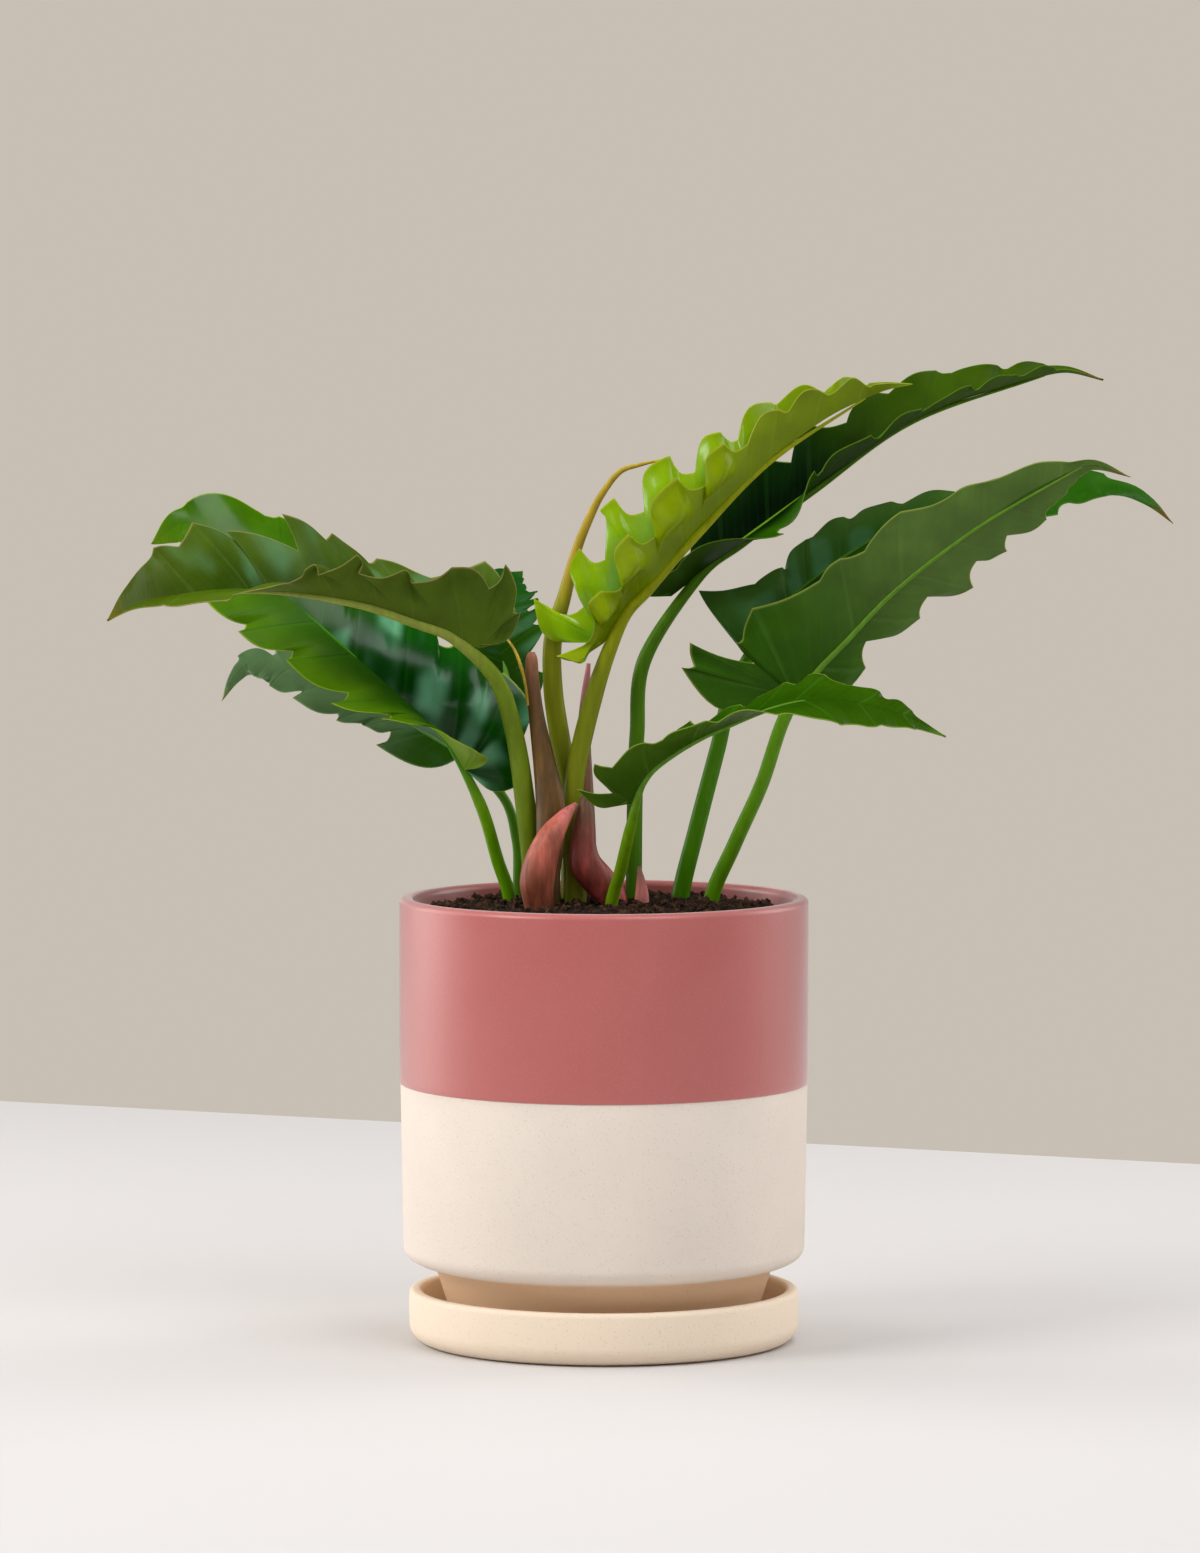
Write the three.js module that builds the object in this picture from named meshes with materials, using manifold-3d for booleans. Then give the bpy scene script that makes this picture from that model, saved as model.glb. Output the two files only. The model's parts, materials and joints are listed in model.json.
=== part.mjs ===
// A potted philodendron with narrow, deeply toothed leaves, in a two-tone clay pot on its saucer.
// Millimetres, +Z up, the plant's front towards -Y. The origin is the middle of the saucer's underside.
import * as THREE from 'three';
import { mergeVertices } from 'three/addons/utils/BufferGeometryUtils.js';
import Module from 'manifold-3d';

const wasm = await Module();
wasm.setup();

// Sizes that drive the rest
const POT_RADIUS = 82.5;
const POT_TOP = 180;
const WALL = 6.2;
const SHOULDER_RADIUS = 81;
const SHOULDER_Z = 41;
const BODY_FOOT_RADIUS = 71;
const BODY_FOOT_Z = 31;
const FOOT_TOP_RADIUS = 68.3;
const FOOT_RADIUS = 61;
const POT_FLOOR = 8;
const DRAIN_RADIUS = 7;
const SAUCER_RADIUS = 78.7;
const SAUCER_HEIGHT = 21.5;
const SAUCER_WALL = 5.5;
const SAUCER_FLOOR = 6;
const SAUCER_BASE_RADIUS = 68;
const GAP = 0.3;
const POT_BASE = SAUCER_FLOOR + GAP;
const SOIL_EDGE = 172;
const SOIL_MOUND = 6;
const SOIL_BUMP = 0.9;
const SOIL_RINGS = 7;
const ROOTED = 26;
const ROUND_SIDES = 48;
const BLADE = 1.0;

const degrees = THREE.MathUtils.degToRad;
const mix = THREE.MathUtils.lerp;
const clamp = THREE.MathUtils.clamp;
const vector = (p) => new THREE.Vector3(...p);

// Straight lines between [x, value] pairs, level past both ends.
function along(pairs, x) {
  const next = pairs.findIndex(([at]) => at > x);
  if (next === 0) return pairs[0][1];
  if (next < 0) return pairs[pairs.length - 1][1];
  const [x0, a] = pairs[next - 1];
  const [x1, b] = pairs[next];
  return mix(a, b, (x - x0) / (x1 - x0));
}

// Values spread evenly from 0 to 1, as pairs for along().
const spread = (values) => values.map((v, i) => [i / Math.max(1, values.length - 1), v]);

function solidOf(geometry) {
  const bare = geometry.clone();
  bare.deleteAttribute('normal');
  bare.deleteAttribute('uv');
  const merged = mergeVertices(bare, 1e-4);
  return new wasm.Manifold(new wasm.Mesh({
    numProp: 3,
    vertProperties: new Float32Array(merged.attributes.position.array),
    triVerts: new Uint32Array(merged.index.array),
  }));
}

function solidFrom(points, triangles) {
  return new wasm.Manifold(new wasm.Mesh({
    numProp: 3,
    vertProperties: new Float32Array(points.flatMap((p) => [p.x, p.y, p.z])),
    triVerts: new Uint32Array(triangles.flat()),
  }));
}

function geometryOf(solid) {
  const mesh = solid.getMesh();
  const geometry = new THREE.BufferGeometry();
  const xyz = new Float32Array(mesh.numVert * 3);
  for (let i = 0; i < mesh.numVert; i++) {
    xyz.set(mesh.vertProperties.subarray(i * mesh.numProp, i * mesh.numProp + 3), i * 3);
  }
  geometry.setAttribute('position', new THREE.BufferAttribute(xyz, 3));
  geometry.setIndex(new THREE.BufferAttribute(mesh.triVerts, 1));
  geometry.computeVertexNormals();
  return geometry;
}

// A turned piece from a profile of [radius, height] pairs.
function turned(profile, sides = ROUND_SIDES) {
  const points = profile.map(([r, z]) => new THREE.Vector2(r, z));
  return new THREE.LatheGeometry(points, sides).rotateX(Math.PI / 2);
}

// A tube of changing radius along a list of points, closed at both ends.
function tube(path, radii, sides) {
  const curve = new THREE.CatmullRomCurve3(path, false, 'catmullrom', 0.5);
  const steps = radii.length - 1;
  const rings = [];
  let across = new THREE.Vector3(0, 1, 0);
  for (let i = 0; i <= steps; i++) {
    const centre = curve.getPoint(i / steps);
    const ahead = curve.getTangent(i / steps);
    across = across.sub(ahead.clone().multiplyScalar(across.dot(ahead))).normalize();
    const beside = new THREE.Vector3().crossVectors(ahead, across);
    const ring = [];
    for (let k = 0; k < sides; k++) {
      const turn = (2 * Math.PI * k) / sides;
      ring.push(centre.clone()
        .addScaledVector(across, radii[i] * Math.cos(turn))
        .addScaledVector(beside, radii[i] * Math.sin(turn)));
    }
    rings.push(ring);
  }
  return loft(rings);
}

// Rings of as many points each, joined in order and capped from their middles.
function loft(rings) {
  const sides = rings[0].length;
  const points = rings.flat();
  const middle = (ring) => ring.reduce((sum, p) => sum.add(p), new THREE.Vector3()).divideScalar(sides);
  const first = points.push(middle(rings[0])) - 1;
  const last = points.push(middle(rings[rings.length - 1])) - 1;
  const triangles = [];
  for (let k = 0; k < sides; k++) {
    const n = (k + 1) % sides;
    for (let i = 0; i < rings.length - 1; i++) {
      const a = i * sides;
      triangles.push([a + k, a + n, a + sides + n], [a + k, a + sides + n, a + sides + k]);
    }
    const end = (rings.length - 1) * sides;
    triangles.push([first, n, k], [last, end + k, end + n]);
  }
  return solidFrom(points, triangles);
}

// A leaf's blade is drawn flat first. Each half has an edge of [along, out] places: a notch, the tooth
// after it, the next notch and so on, from the stalk to the leaf's tip. Along is measured on the midrib.
// The edge takes BACK_LOBE of its course to pass the stalk and LAST_NOTCH of it to reach the last notch.
// A tooth rises over TOOTH_SHARE of its stretch. Curl is the degrees that a half bends in CURL_WIDTH.
// Bulge and back say how much of the usual bow the teeth and the basal lobe have, and puff how far the
// blade swells between its veins, which fades over PUFF_REACH.
const BACK_LOBE = 0.16;
const LAST_NOTCH = 0.95;
const TOOTH_SHARE = 0.62;
const ACROSS_STEPS = 2;
const TOOTH_BULGE = 0.17;
const BACK_BULGE = 0.3;
const NOTCH_BULGE = 0.16;
const LEAST_OUT = 0.8;
const SWELL_END = 0.8;
const SWELL_LOW = 0.4;
const CURL_WIDTH = 25;
const PUFF_AT = 0.5;
const PUFF_MIDWAY = 0.6;
const PUFF_REACH = [85, 110];
const LEVEL = 1e-5;

// The edge between two places, bowed outward by a share of the distance.
function bowed(from, to, q, bulge) {
  const [da, db] = [to[0] - from[0], to[1] - from[1]];
  const bow = bulge * Math.sin(Math.PI * q);
  return [from[0] + da * q - db * bow, from[1] + db * q + da * bow];
}

// A place on a half's edge: s runs from 0 at the stalk to 1 at the leaf's tip.
function edgePoint(half, length, s) {
  const teeth = (half.edge.length - 1) / 2;
  if (s >= LAST_NOTCH) {
    const [a, b] = half.edge[2 * teeth];
    const q = (s - LAST_NOTCH) / (1 - LAST_NOTCH);
    return { along: mix(a, length, q), out: mix(b, 0, q), lift: 0, puffed: 0 };
  }
  const place = (s / LAST_NOTCH) * teeth;
  const i = Math.floor(place + 1e-6);
  const p = Math.max(0, place - i);
  const [notch, tip, next] = half.edge.slice(2 * i, 2 * i + 3);
  const { bulge = 1, back = 1 } = half;
  const [along, out] = p < TOOTH_SHARE
    ? bowed(notch, tip, p / TOOTH_SHARE, i === 0 ? BACK_BULGE * back : TOOTH_BULGE * bulge)
    : bowed(tip, next, (p - TOOTH_SHARE) / (1 - TOOTH_SHARE), -NOTCH_BULGE * bulge);
  const lift = Math.sin(Math.PI * clamp(p / SWELL_END, 0, 1)) - SWELL_LOW;
  const puffed = Math.cos(Math.PI * (p - PUFF_AT)) ** 2;
  return { along, out: Math.max(LEAST_OUT, out), lift, puffed };
}

// The midrib as a rail: a place on it is a distance from the stalk, and both ends run on straight.
function rail(points) {
  const curve = new THREE.CatmullRomCurve3(points.map(vector), false, 'catmullrom', 0.5);
  const steps = 8 * (points.length - 1);
  const at = [];
  let length = 0;
  for (let i = 0; i <= steps; i++) {
    const point = curve.getPoint(i / steps);
    if (i > 0) length += point.distanceTo(at[i - 1].point);
    at.push({ length, point, ahead: curve.getTangent(i / steps) });
  }
  const place = (distance) => {
    const d = clamp(distance, 0, length);
    const found = at.findIndex((a) => a.length >= d);
    const next = found < 1 ? (found < 0 ? steps : 1) : found;
    const share = (d - at[next - 1].length) / (at[next].length - at[next - 1].length);
    const ahead = at[next - 1].ahead.clone().lerp(at[next].ahead, share).normalize();
    const point = at[next - 1].point.clone().lerp(at[next].point, share);
    return { point: point.addScaledVector(ahead, distance - d), ahead };
  };
  return { length, place };
}

// The blade's own axes at a distance along the midrib: ahead, up through the upper surface, and right.
function axes(leaf, line, distance) {
  const { point, ahead } = line.place(distance);
  const t = clamp(distance / line.length, 0, 1);
  const face = new THREE.Vector3(...[0, 1, 2].map((k) => along(spread(leaf.face.map((f) => f[k])), t)));
  const up = face.addScaledVector(ahead, -face.dot(ahead)).normalize();
  return { point, ahead, up, right: new THREE.Vector3().crossVectors(ahead, up), t };
}

// A point of a half blade, and the way its upper surface looks there. The half rises by its fold,
// bends on by its curl, and swells between its notches.
function bladePoint(leaf, line, half, side, at) {
  const { point, up, right, t } = axes(leaf, line, at.along);
  const fold = degrees(along(spread(half.fold), t));
  const curl = degrees(along(spread(half.curl), t)) / CURL_WIDTH;
  const bent = fold + curl * at.out;
  const flat = Math.abs(curl) < LEVEL;
  const across = flat ? at.out * Math.cos(fold) : (Math.sin(bent) - Math.sin(fold)) / curl;
  const rise = flat ? at.out * Math.sin(fold) : (Math.cos(fold) - Math.cos(bent)) / curl;
  const normal = up.clone().multiplyScalar(Math.cos(bent)).addScaledVector(right, -side * Math.sin(bent));
  return {
    point: point.addScaledVector(right, side * across).addScaledVector(up, rise)
      .addScaledVector(normal, at.lift),
    normal,
  };
}

// How far a half swells midway between its midrib and its edge.
function puffAt({ puff = 0 }, edge) {
  const [near, far] = PUFF_REACH;
  const faded = clamp((edge.along - near) / (far - near), 0, 1);
  return puff * PUFF_MIDWAY * edge.puffed * (1 - faded);
}

// Both halves of a blade as one sheet, thickened alike on both faces.
function bladeSolid(leaf, line) {
  const teeth = (leaf.left.edge.length - 1) / 2;
  const stations = [];
  for (let i = 0; i < teeth; i++) {
    for (const p of [0, TOOTH_SHARE / 2, TOOTH_SHARE, (1 + TOOTH_SHARE) / 2]) {
      stations.push((LAST_NOTCH * (i + p)) / teeth);
    }
  }
  stations.push(LAST_NOTCH);
  const sheet = [];
  const faces = [];
  const keep = (p) => sheet.push(p) - 1;
  const ribAt = (distance) => {
    const { point, up } = axes(leaf, line, distance);
    return keep({ point, normal: up });
  };
  const ribPlace = (s) => (Math.max(0, s - BACK_LOBE) / (1 - BACK_LOBE)) * line.length;
  const base = ribAt(0);
  const tip = ribAt(line.length);
  const rib = stations.map((s) => (s <= BACK_LOBE ? base : ribAt(ribPlace(s))));
  for (const [half, side] of [[leaf.left, -1], [leaf.right, 1]]) {
    const rows = stations.map((s, i) => {
      const edge = edgePoint(half, line.length, s);
      const row = [rib[i]];
      for (let j = 1; j <= ACROSS_STEPS; j++) {
        const share = j / ACROSS_STEPS;
        const at = {
          along: mix(ribPlace(s), edge.along, share),
          out: edge.out * share,
          lift: half.wave * edge.lift * share * share + (j < ACROSS_STEPS ? puffAt(half, edge) : 0),
        };
        row.push(keep(bladePoint(leaf, line, half, side, at)));
      }
      return row;
    });
    rows.push(Array(ACROSS_STEPS + 1).fill(tip));
    for (let i = 0; i < rows.length - 1; i++) {
      for (let j = 0; j < ACROSS_STEPS; j++) {
        const [a, b, c, d] = [rows[i][j], rows[i + 1][j], rows[i + 1][j + 1], rows[i][j + 1]];
        for (const f of [[a, b, c], [a, c, d]]) {
          if (new Set(f).size === 3) faces.push(side > 0 ? f.reverse() : f);
        }
      }
    }
  }
  return thickened(sheet, faces);
}

// A sheet of points with normals, made BLADE thick and walled round its edge.
function thickened(sheet, faces) {
  const n = sheet.length;
  const upper = sheet.map(({ point, normal }) => point.clone().addScaledVector(normal, BLADE / 2));
  const lower = sheet.map(({ point, normal }) => point.clone().addScaledVector(normal, -BLADE / 2));
  const triangles = [];
  const edges = new Map();
  for (const [a, b, c] of faces) {
    triangles.push([a, b, c], [n + a, n + c, n + b]);
    for (const [p, q] of [[a, b], [b, c], [c, a]]) {
      if (edges.has(`${q},${p}`)) edges.delete(`${q},${p}`);
      else edges.set(`${p},${q}`, [p, q]);
    }
  }
  for (const [p, q] of edges.values()) triangles.push([q, p, n + p], [q, n + p, n + q]);
  return solidFrom([...upper, ...lower], triangles);
}

const RIB_PLACES = [0.07, 0.18, 0.36, 0.6, 0.88];
const RIB_RADIUS = 2.2;
const RIB_END = 0.4;
const RIB_STEP = 0.75;
const RIB_SUNK = 0.5;
const STALK_SIDES = 8;

// The stalk from under the soil, running on as the midrib under the blade.
function stalkSolid(leaf, line) {
  const stalk = rooted(leaf.stalk);
  const path = [...stalk];
  const radii = stalk.map((_, i) => mix(leaf.radius[0], leaf.radius[1], i / (stalk.length - 1)));
  const thick = leaf.rib ?? Math.min(RIB_RADIUS, leaf.radius[1] * RIB_STEP);
  for (const t of RIB_PLACES) {
    const { point, up } = axes(leaf, line, t * line.length);
    const radius = mix(thick, RIB_END, t / RIB_PLACES[RIB_PLACES.length - 1]);
    path.push(point.addScaledVector(up, -radius * RIB_SUNK));
    radii.push(radius);
  }
  return tube(path, radii, STALK_SIDES);
}

// A stalk's points with its root end added, straight down below the soil.
function rooted(points) {
  const [x, y, z] = points[0];
  return [new THREE.Vector3(x, y, z - ROOTED), ...points.map(vector)];
}

// The leaves. Stalk and midrib points are [x, y, z]; face is the way the upper surface looks along the
// midrib; fold, curl and wave shape each half, seen from the stalk with the tip ahead.
const LEAVES = {
  leaf_left_arching: {
    color: '#5f7a3c',
    stalk: [[-27.8, -2, 182], [-31.6, -8, 218], [-35.9, -15, 246.6], [-43.1, -26, 269.2]],
    radius: [4.9, 3.3],
    midrib: [[-49.8, -32, 281.9], [-64.8, -38, 289], [-88.9, -46, 298.5], [-108.5, -52, 303.1],
      [-129, -56, 305.7], [-147.9, -58, 306.6], [-166.9, -57, 304.5], [-183.7, -54, 300.8],
      [-196.4, -50, 293.9]],
    face: [[0, 0, 1]],
    left: {
      puff: 3,
      fold: [78, 62, 50, 42, 8, -15, -20, -20],
      curl: [0],
      wave: 1.5,
      edge: [[0, 2], [-9, 20], [-6, 19], [7, 35], [9, 24], [27, 28], [39, 17], [44, 21], [59, 16],
          [62, 25], [74, 17], [80, 24], [84, 15], [104, 17], [108, 14], [130, 10], [132, 7]],
    },
    right: {
      bulge: 0.3,
      fold: [72, 50, 45, 60, 68, 70, 70, 70],
      curl: [0],
      wave: 1,
      edge: [[0, 2], [-10, 22], [-3, 27], [6, 38], [24, 26], [46, 27], [49, 23], [66, 29], [68, 26],
          [86, 33], [79, 18], [106, 24], [102, 19], [118, 29], [124, 20], [134, 21], [137, 16]],
    },
  },
  leaf_left_glossy: {
    color: '#1c6b16',
    stalk: [[-38, 10, 176.8], [-43.2, 8, 194.7], [-49.9, 0, 217.5]],
    radius: [2.9, 2.4],
    rib: 1,
    midrib: [[-55.8, -6, 231.6], [-65.8, -8, 246.2], [-89.9, -6, 268.2], [-108.1, -2, 283.7],
      [-128.3, 2, 301.2], [-152.5, 6, 320], [-168.7, 8, 329.9], [-182.2, 4, 322]],
    face: [[0.34, -0.85, 0.4]],
    left: {
      fold: [100, 50, 18, 8, 6, 10, 10],
      curl: [0],
      wave: 1.2,
      edge: [[0, 2], [9, 19], [24, 17], [38, 28], [37, 18], [56, 29], [55, 18], [82, 24], [83, 18],
          [105, 28], [105, 22], [124, 26], [126, 20], [143, 18], [145, 13], [158, 8], [160, 6]],
    },
    right: {
      fold: [20, 14, 10, 10, 8, 8, 8],
      curl: [0, -20, -30, -30, -30, -20],
      wave: 1.5,
      edge: [[0, 2], [-18, 17], [-4, 26], [18, 38], [21, 33], [38, 38], [43, 31], [64, 37], [66, 29],
          [88, 34], [89, 27], [108, 36], [110, 31], [126, 31], [130, 26], [152, 9], [155, 6]],
    },
  },
  leaf_left_low: {
    color: '#5a7d5f',
    stalk: [[-34.9, 28, 182], [-35.7, 30, 201], [-42.2, 28, 219.7]],
    radius: [2.2, 1.9],
    midrib: [[-58.4, 28, 235.1], [-82.7, 30, 249.2], [-107.1, 32, 261.3], [-127.4, 32, 269.5],
      [-143.4, 28, 272.5], [-150, 24, 267.4], [-154.9, 20, 257.5]],
    face: [[0.25, -0.55, 0.8]],
    left: {
      fold: [5, 0, -5, -5],
      curl: [-10],
      wave: 1,
      edge: [[0, 2], [31, 20], [29, 9], [39, 14], [41, 12], [51, 17], [52, 13], [73, 15], [70, 9],
          [87, 12], [87, 9], [93, 8], [94, 7], [99, 5], [100, 4]],
    },
    right: {
      fold: [20, 15, 10, 10],
      curl: [-10],
      wave: 1,
      edge: [[0, 2], [-12, 17], [0, 20], [22, 24], [24, 20], [40, 22], [41, 17], [56, 18], [57, 13],
        [70, 14], [71, 10], [84, 9], [85, 6], [97, 5], [98, 3]],
    },
  },
  leaf_rear: {
    color: '#1b4a22',
    stalk: [[-33.4, 42, 181], [-32.5, 40, 217], [-34.1, 38, 239.4]],
    radius: [2.5, 2.1],
    midrib: [[-37.4, 40, 255.6], [-41.2, 54, 271.2], [-45.5, 72, 280.5], [-47.8, 94, 289.8],
      [-43.9, 116, 298.3], [-34.1, 132, 305.2]],
    face: [[0, -0.6, 0.8]],
    left: {
      fold: [15, 10, 10],
      curl: [0],
      wave: 1.2,
      edge: [[0, 2], [-16, 13], [-4, 17], [14, 18], [16, 14], [34, 18], [36, 13], [54, 17], [56, 12],
        [72, 14], [74, 10], [90, 10], [92, 7], [104, 6], [105, 4]],
    },
    right: {
      fold: [15, 10, 10],
      curl: [0],
      wave: 1.5,
      edge: [[0, 2], [10, 15], [22, 10], [42, 21], [46, 17], [60, 20], [64, 16], [76, 20], [79, 15],
          [90, 17], [93, 11], [98, 8], [100, 6], [104, 4], [105, 3]],
    },
  },
  leaf_front_young: {
    color: '#8fae22',
    stalk: [[-11.5, -8, 184], [-12.6, -8, 221], [-4.4, -10, 260.4]],
    radius: [4.8, 3.7],
    rib: 2.6,
    midrib: [[-0.4, -12, 283], [12.8, -18, 301.3], [22.8, -22, 310.6], [32.7, -24, 322.7],
      [45.9, -26, 337.9], [59, -26, 349.9], [70.2, -24, 360.2], [87.8, -20, 372.9], [102.3, -16, 380.3],
      [112.3, -14, 384.3], [123.2, -12, 386.7]],
    face: [[-0.62, 0, 0.78]],
    right: {
      bulge: 1.5,
      puff: -8,
      fold: [48, 48, 48, 48, 48, 50],
      curl: [0],
      wave: 1.5,
      edge: [[0, 2], [-13, 15], [8, 11], [20, 17], [28, 9], [45, 28], [50, 16], [72, 28], [78, 14],
          [91, 25], [98, 15], [114, 18], [118, 16], [132, 12], [135, 10], [149, 6], [152, 5]],
    },
    left: {
      bulge: 1.4,
      puff: 2.5,
      fold: [72, 76, 76, 76, 76, 74],
      curl: [0],
      wave: 1.5,
      edge: [[0, 2], [-6, 35], [9, 15], [22, 31], [25, 20], [49, 35], [52, 22], [74, 29], [76, 17],
          [95, 22], [98, 15], [116, 18], [119, 16], [133, 11], [136, 10], [149, 6], [152, 5]],
    },
  },
  leaf_right_upper: {
    color: '#27571d',
    stalk: [[12.1, 12, 182], [12.5, 14, 218.6], [13.4, 16, 244.8], [16.6, 18, 275]],
    radius: [3.4, 2.9],
    midrib: [[27.1, 22, 300.3], [50.7, 30, 318.2], [69.4, 36, 331.8], [89.4, 42, 345.8],
      [109.4, 47, 359.9], [126.6, 51, 370.8], [145.5, 54, 378.9], [164.3, 57, 384.5], [177, 59, 388.1],
      [189.8, 61, 390.1], [204.5, 62, 386.8]],
    face: [[-0.55, 0, 0.83]],
    right: {
      fold: [50, 10, -15, 20, 12, 10, 15, 20, 20],
      curl: [0],
      wave: 1.5,
      edge: [[0, 2], [-8, 18], [6, 13], [47, 26], [50, 15], [74, 22], [79, 14], [103, 20], [106, 15],
        [127, 17], [131, 12], [150, 13], [153, 10], [170, 9], [173, 7], [186, 5], [189, 4]],
    },
    left: {
      bulge: 0.5,
      fold: [50, 50, 50, 50, 50, 55, 60, 60],
      curl: [0],
      wave: 1.5,
      edge: [[0, 2], [-6, 20], [19, 11], [47, 28], [52, 22], [70, 27], [76, 18], [92, 28], [104, 18],
          [120, 24], [124, 19], [143, 18], [148, 14], [166, 10], [170, 8], [184, 5], [187, 4]],
    },
  },
  leaf_right_light: {
    color: '#4d7a34',
    stalk: [[43.2, 10, 177], [52.9, 8, 200.8], [63.6, 2, 225.4], [72.7, -6, 252.9]],
    radius: [3.3, 2.7],
    rib: 1.3,
    midrib: [[75.8, -8, 261.5], [86.2, -10, 272.4], [103.7, -13, 291], [123.6, -16, 310.8],
      [143.9, -18, 325.7], [164.2, -20, 340.5], [177.7, -21, 348.1], [193.9, -22, 354.6],
      [210, -20, 349.7]],
    face: [[-0.27, 0.89, 0.36]],
    right: {
      bulge: 0.35,
      fold: [10, 10, 8, 8],
      curl: [0],
      wave: 1,
      edge: [[0, 2], [-21, 42], [-17, 39], [-11, 47], [0, 21], [1, 33], [4, 32], [16, 38], [42, 26],
          [54, 26], [62, 21], [80, 24], [100, 18], [114, 14], [124, 11], [143, 5], [148, 3]],
    },
    left: {
      puff: -1.5,
      fold: [10, 10, 8, 8],
      curl: [0],
      wave: 1.2,
      edge: [[0, 2], [27, 17], [38, 7], [57, 20], [67, 13], [85, 24], [93, 13], [104, 19], [108, 12],
          [126, 17], [131, 11], [139, 9], [141, 7], [146, 5], [148, 4], [152, 3], [154, 2]],
    },
  },
  leaf_right_dark: {
    color: '#2c5a3d',
    stalk: [[30.8, 22, 176], [37.7, 22, 205.9], [46.1, 20, 238.5], [52.2, 19, 262.8]],
    radius: [3.9, 3],
    midrib: [[57.4, 18, 277.1], [71.2, 24, 294.2], [91.6, 32, 310.9], [120.3, 40, 327.6],
      [153, 46, 338], [185.6, 48, 344.4], [209.8, 44, 343.7], [221.8, 40, 338.2], [231.3, 36, 329]],
    face: [[-0.35, -0.35, 0.87]],
    left: {
      bulge: 0.45,
      back: 0.1,
      fold: [50, 36, 22, 18, 18, 20],
      curl: [-15],
      wave: 1.5,
      edge: [[0, 2], [12, 33], [25, 16], [37, 13], [38, 13], [52, 19], [55, 19], [70, 20], [74, 18],
          [88, 16], [92, 14], [112, 10], [115, 9], [136, 9], [140, 7], [170, 6], [174, 4]],
    },
    right: {
      fold: [20, 15, 10, 0, -10, -10],
      curl: [-10],
      wave: 1.5,
      edge: [[0, 2], [-2, 5], [8, 6], [20, 12], [24, 9], [40, 22], [46, 16], [64, 22], [68, 16], [88, 20],
          [92, 14], [112, 18], [116, 13], [150, 21], [157, 12], [172, 8], [176, 5]],
    },
  },
  leaf_low_front: {
    color: '#3c6f2e',
    stalk: [[2.6, -19.6, 176], [6.9, -27.4, 194], [10.4, -38, 210.1]],
    radius: [2.8, 2.3],
    rib: 1.2,
    midrib: [[11.2, -45, 221.3], [16.2, -52, 230.9], [26.9, -58, 241.6], [41.9, -63, 250.2],
      [61.6, -66, 258.3], [81.3, -66, 263.4], [97.2, -64, 262.5], [117.1, -60, 257.2],
      [135.1, -54, 248.1]],
    face: [[-0.5, 0, 0.87], [-0.3, 0, 0.95], [0, 0, 1], [0.2, 0, 1]],
    right: {
      bulge: 0.4,
      fold: [60, 40, 25, 12, -15, -38, -38, -30],
      curl: [0],
      wave: 1,
      edge: [[0, 2], [-4, 22], [2, 9], [12, 23], [13, 16], [28, 17], [33, 13], [50, 15], [54, 13],
          [74, 19], [79, 16], [98, 17], [102, 14], [116, 11], [119, 9], [132, 6], [134, 4]],
    },
    left: {
      bulge: 0.4,
      fold: [40, 22, 14, 14, 22, 28, 25],
      curl: [0],
      wave: 1,
      edge: [[0, 2], [-6, 14], [8, 10], [20, 14], [27, 11], [35, 24], [41, 14], [60, 20], [64, 17],
          [82, 24], [86, 21], [98, 23], [105, 14], [118, 12], [122, 10], [132, 7], [134, 5]],
    },
  },
};

// Papery sheaths that wrapped older leaves: cupped strips, open towards the side they face. One still has
// a dried thread of leaf tip at its end.
const SHEATHS = {
  sheath_brown: {
    color: '#9a6238',
    path: [[-22.6, -11.4, 180], [-22.4, -12, 192], [-21.4, -13, 204], [-21.4, -13, 218],
      [-23.4, -13, 232], [-26.9, -12.5, 253], [-28.6, -12, 268], [-29, -12, 276.4], [-29, -12, 279.4]],
    radius: [5, 5.1, 5.8, 6, 4.8, 3.2, 2.7, 2.4, 1.3],
    faces: [0.25, 1, 0],
    thread: [[-30.2, -13.2, 258], [-31.2, -12.6, 266], [-33.2, -10, 273], [-36, -6, 280], [-40.6, 0, 286]],
  },
  sheath_pink_front: {
    color: '#be645a',
    path: [[-26, -24, 178.2], [-26.6, -26, 190], [-22.4, -26, 204], [-16.6, -22.5, 213],
      [-11.2, -19, 219]],
    radius: [6, 7, 5.6, 3.4, 0.9],
    faces: [0.3, 1, 0.2],
  },
  sheath_red_curled: {
    color: '#a8504c',
    path: [[4, -10.5, 174], [3, -12, 181], [-2, -14.5, 187.5], [-7, -16, 194], [-8.3, -16.5, 202],
      [-7.8, -16, 212], [-7.3, -15.5, 221.5]],
    radius: [4.9, 6, 6.7, 6.5, 5.2, 4.2, 2.2],
    faces: [-0.2, 1, 0],
  },
  sheath_pink_thin: {
    color: '#8a5a52',
    path: [[-8.6, 21, 180], [-8.6, 21, 201], [-8.4, 20, 218], [-8.3, 20, 242], [-7.4, 20, 260],
      [-6.2, 20, 273]],
    radius: [5.6, 5.4, 4.4, 2.9, 1.9, 0.8],
    faces: [-0.1, 1, 0],
  },
  sheath_pink_small: {
    color: '#b0706a',
    path: [[15, -10, 174], [15.2, -10, 183], [14.2, -10, 193]],
    radius: [3.2, 2.6, 0.6],
    faces: [0.4, 1, 0],
  },
};

const SHEATH_OPENING = 200;
const SHEATH_THICKNESS = 0.9;
const SHEATH_SIDES = 5;
const SHEATH_THINNEST = 0.6;
const SHEATH_ROOT = 0.8;

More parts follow.
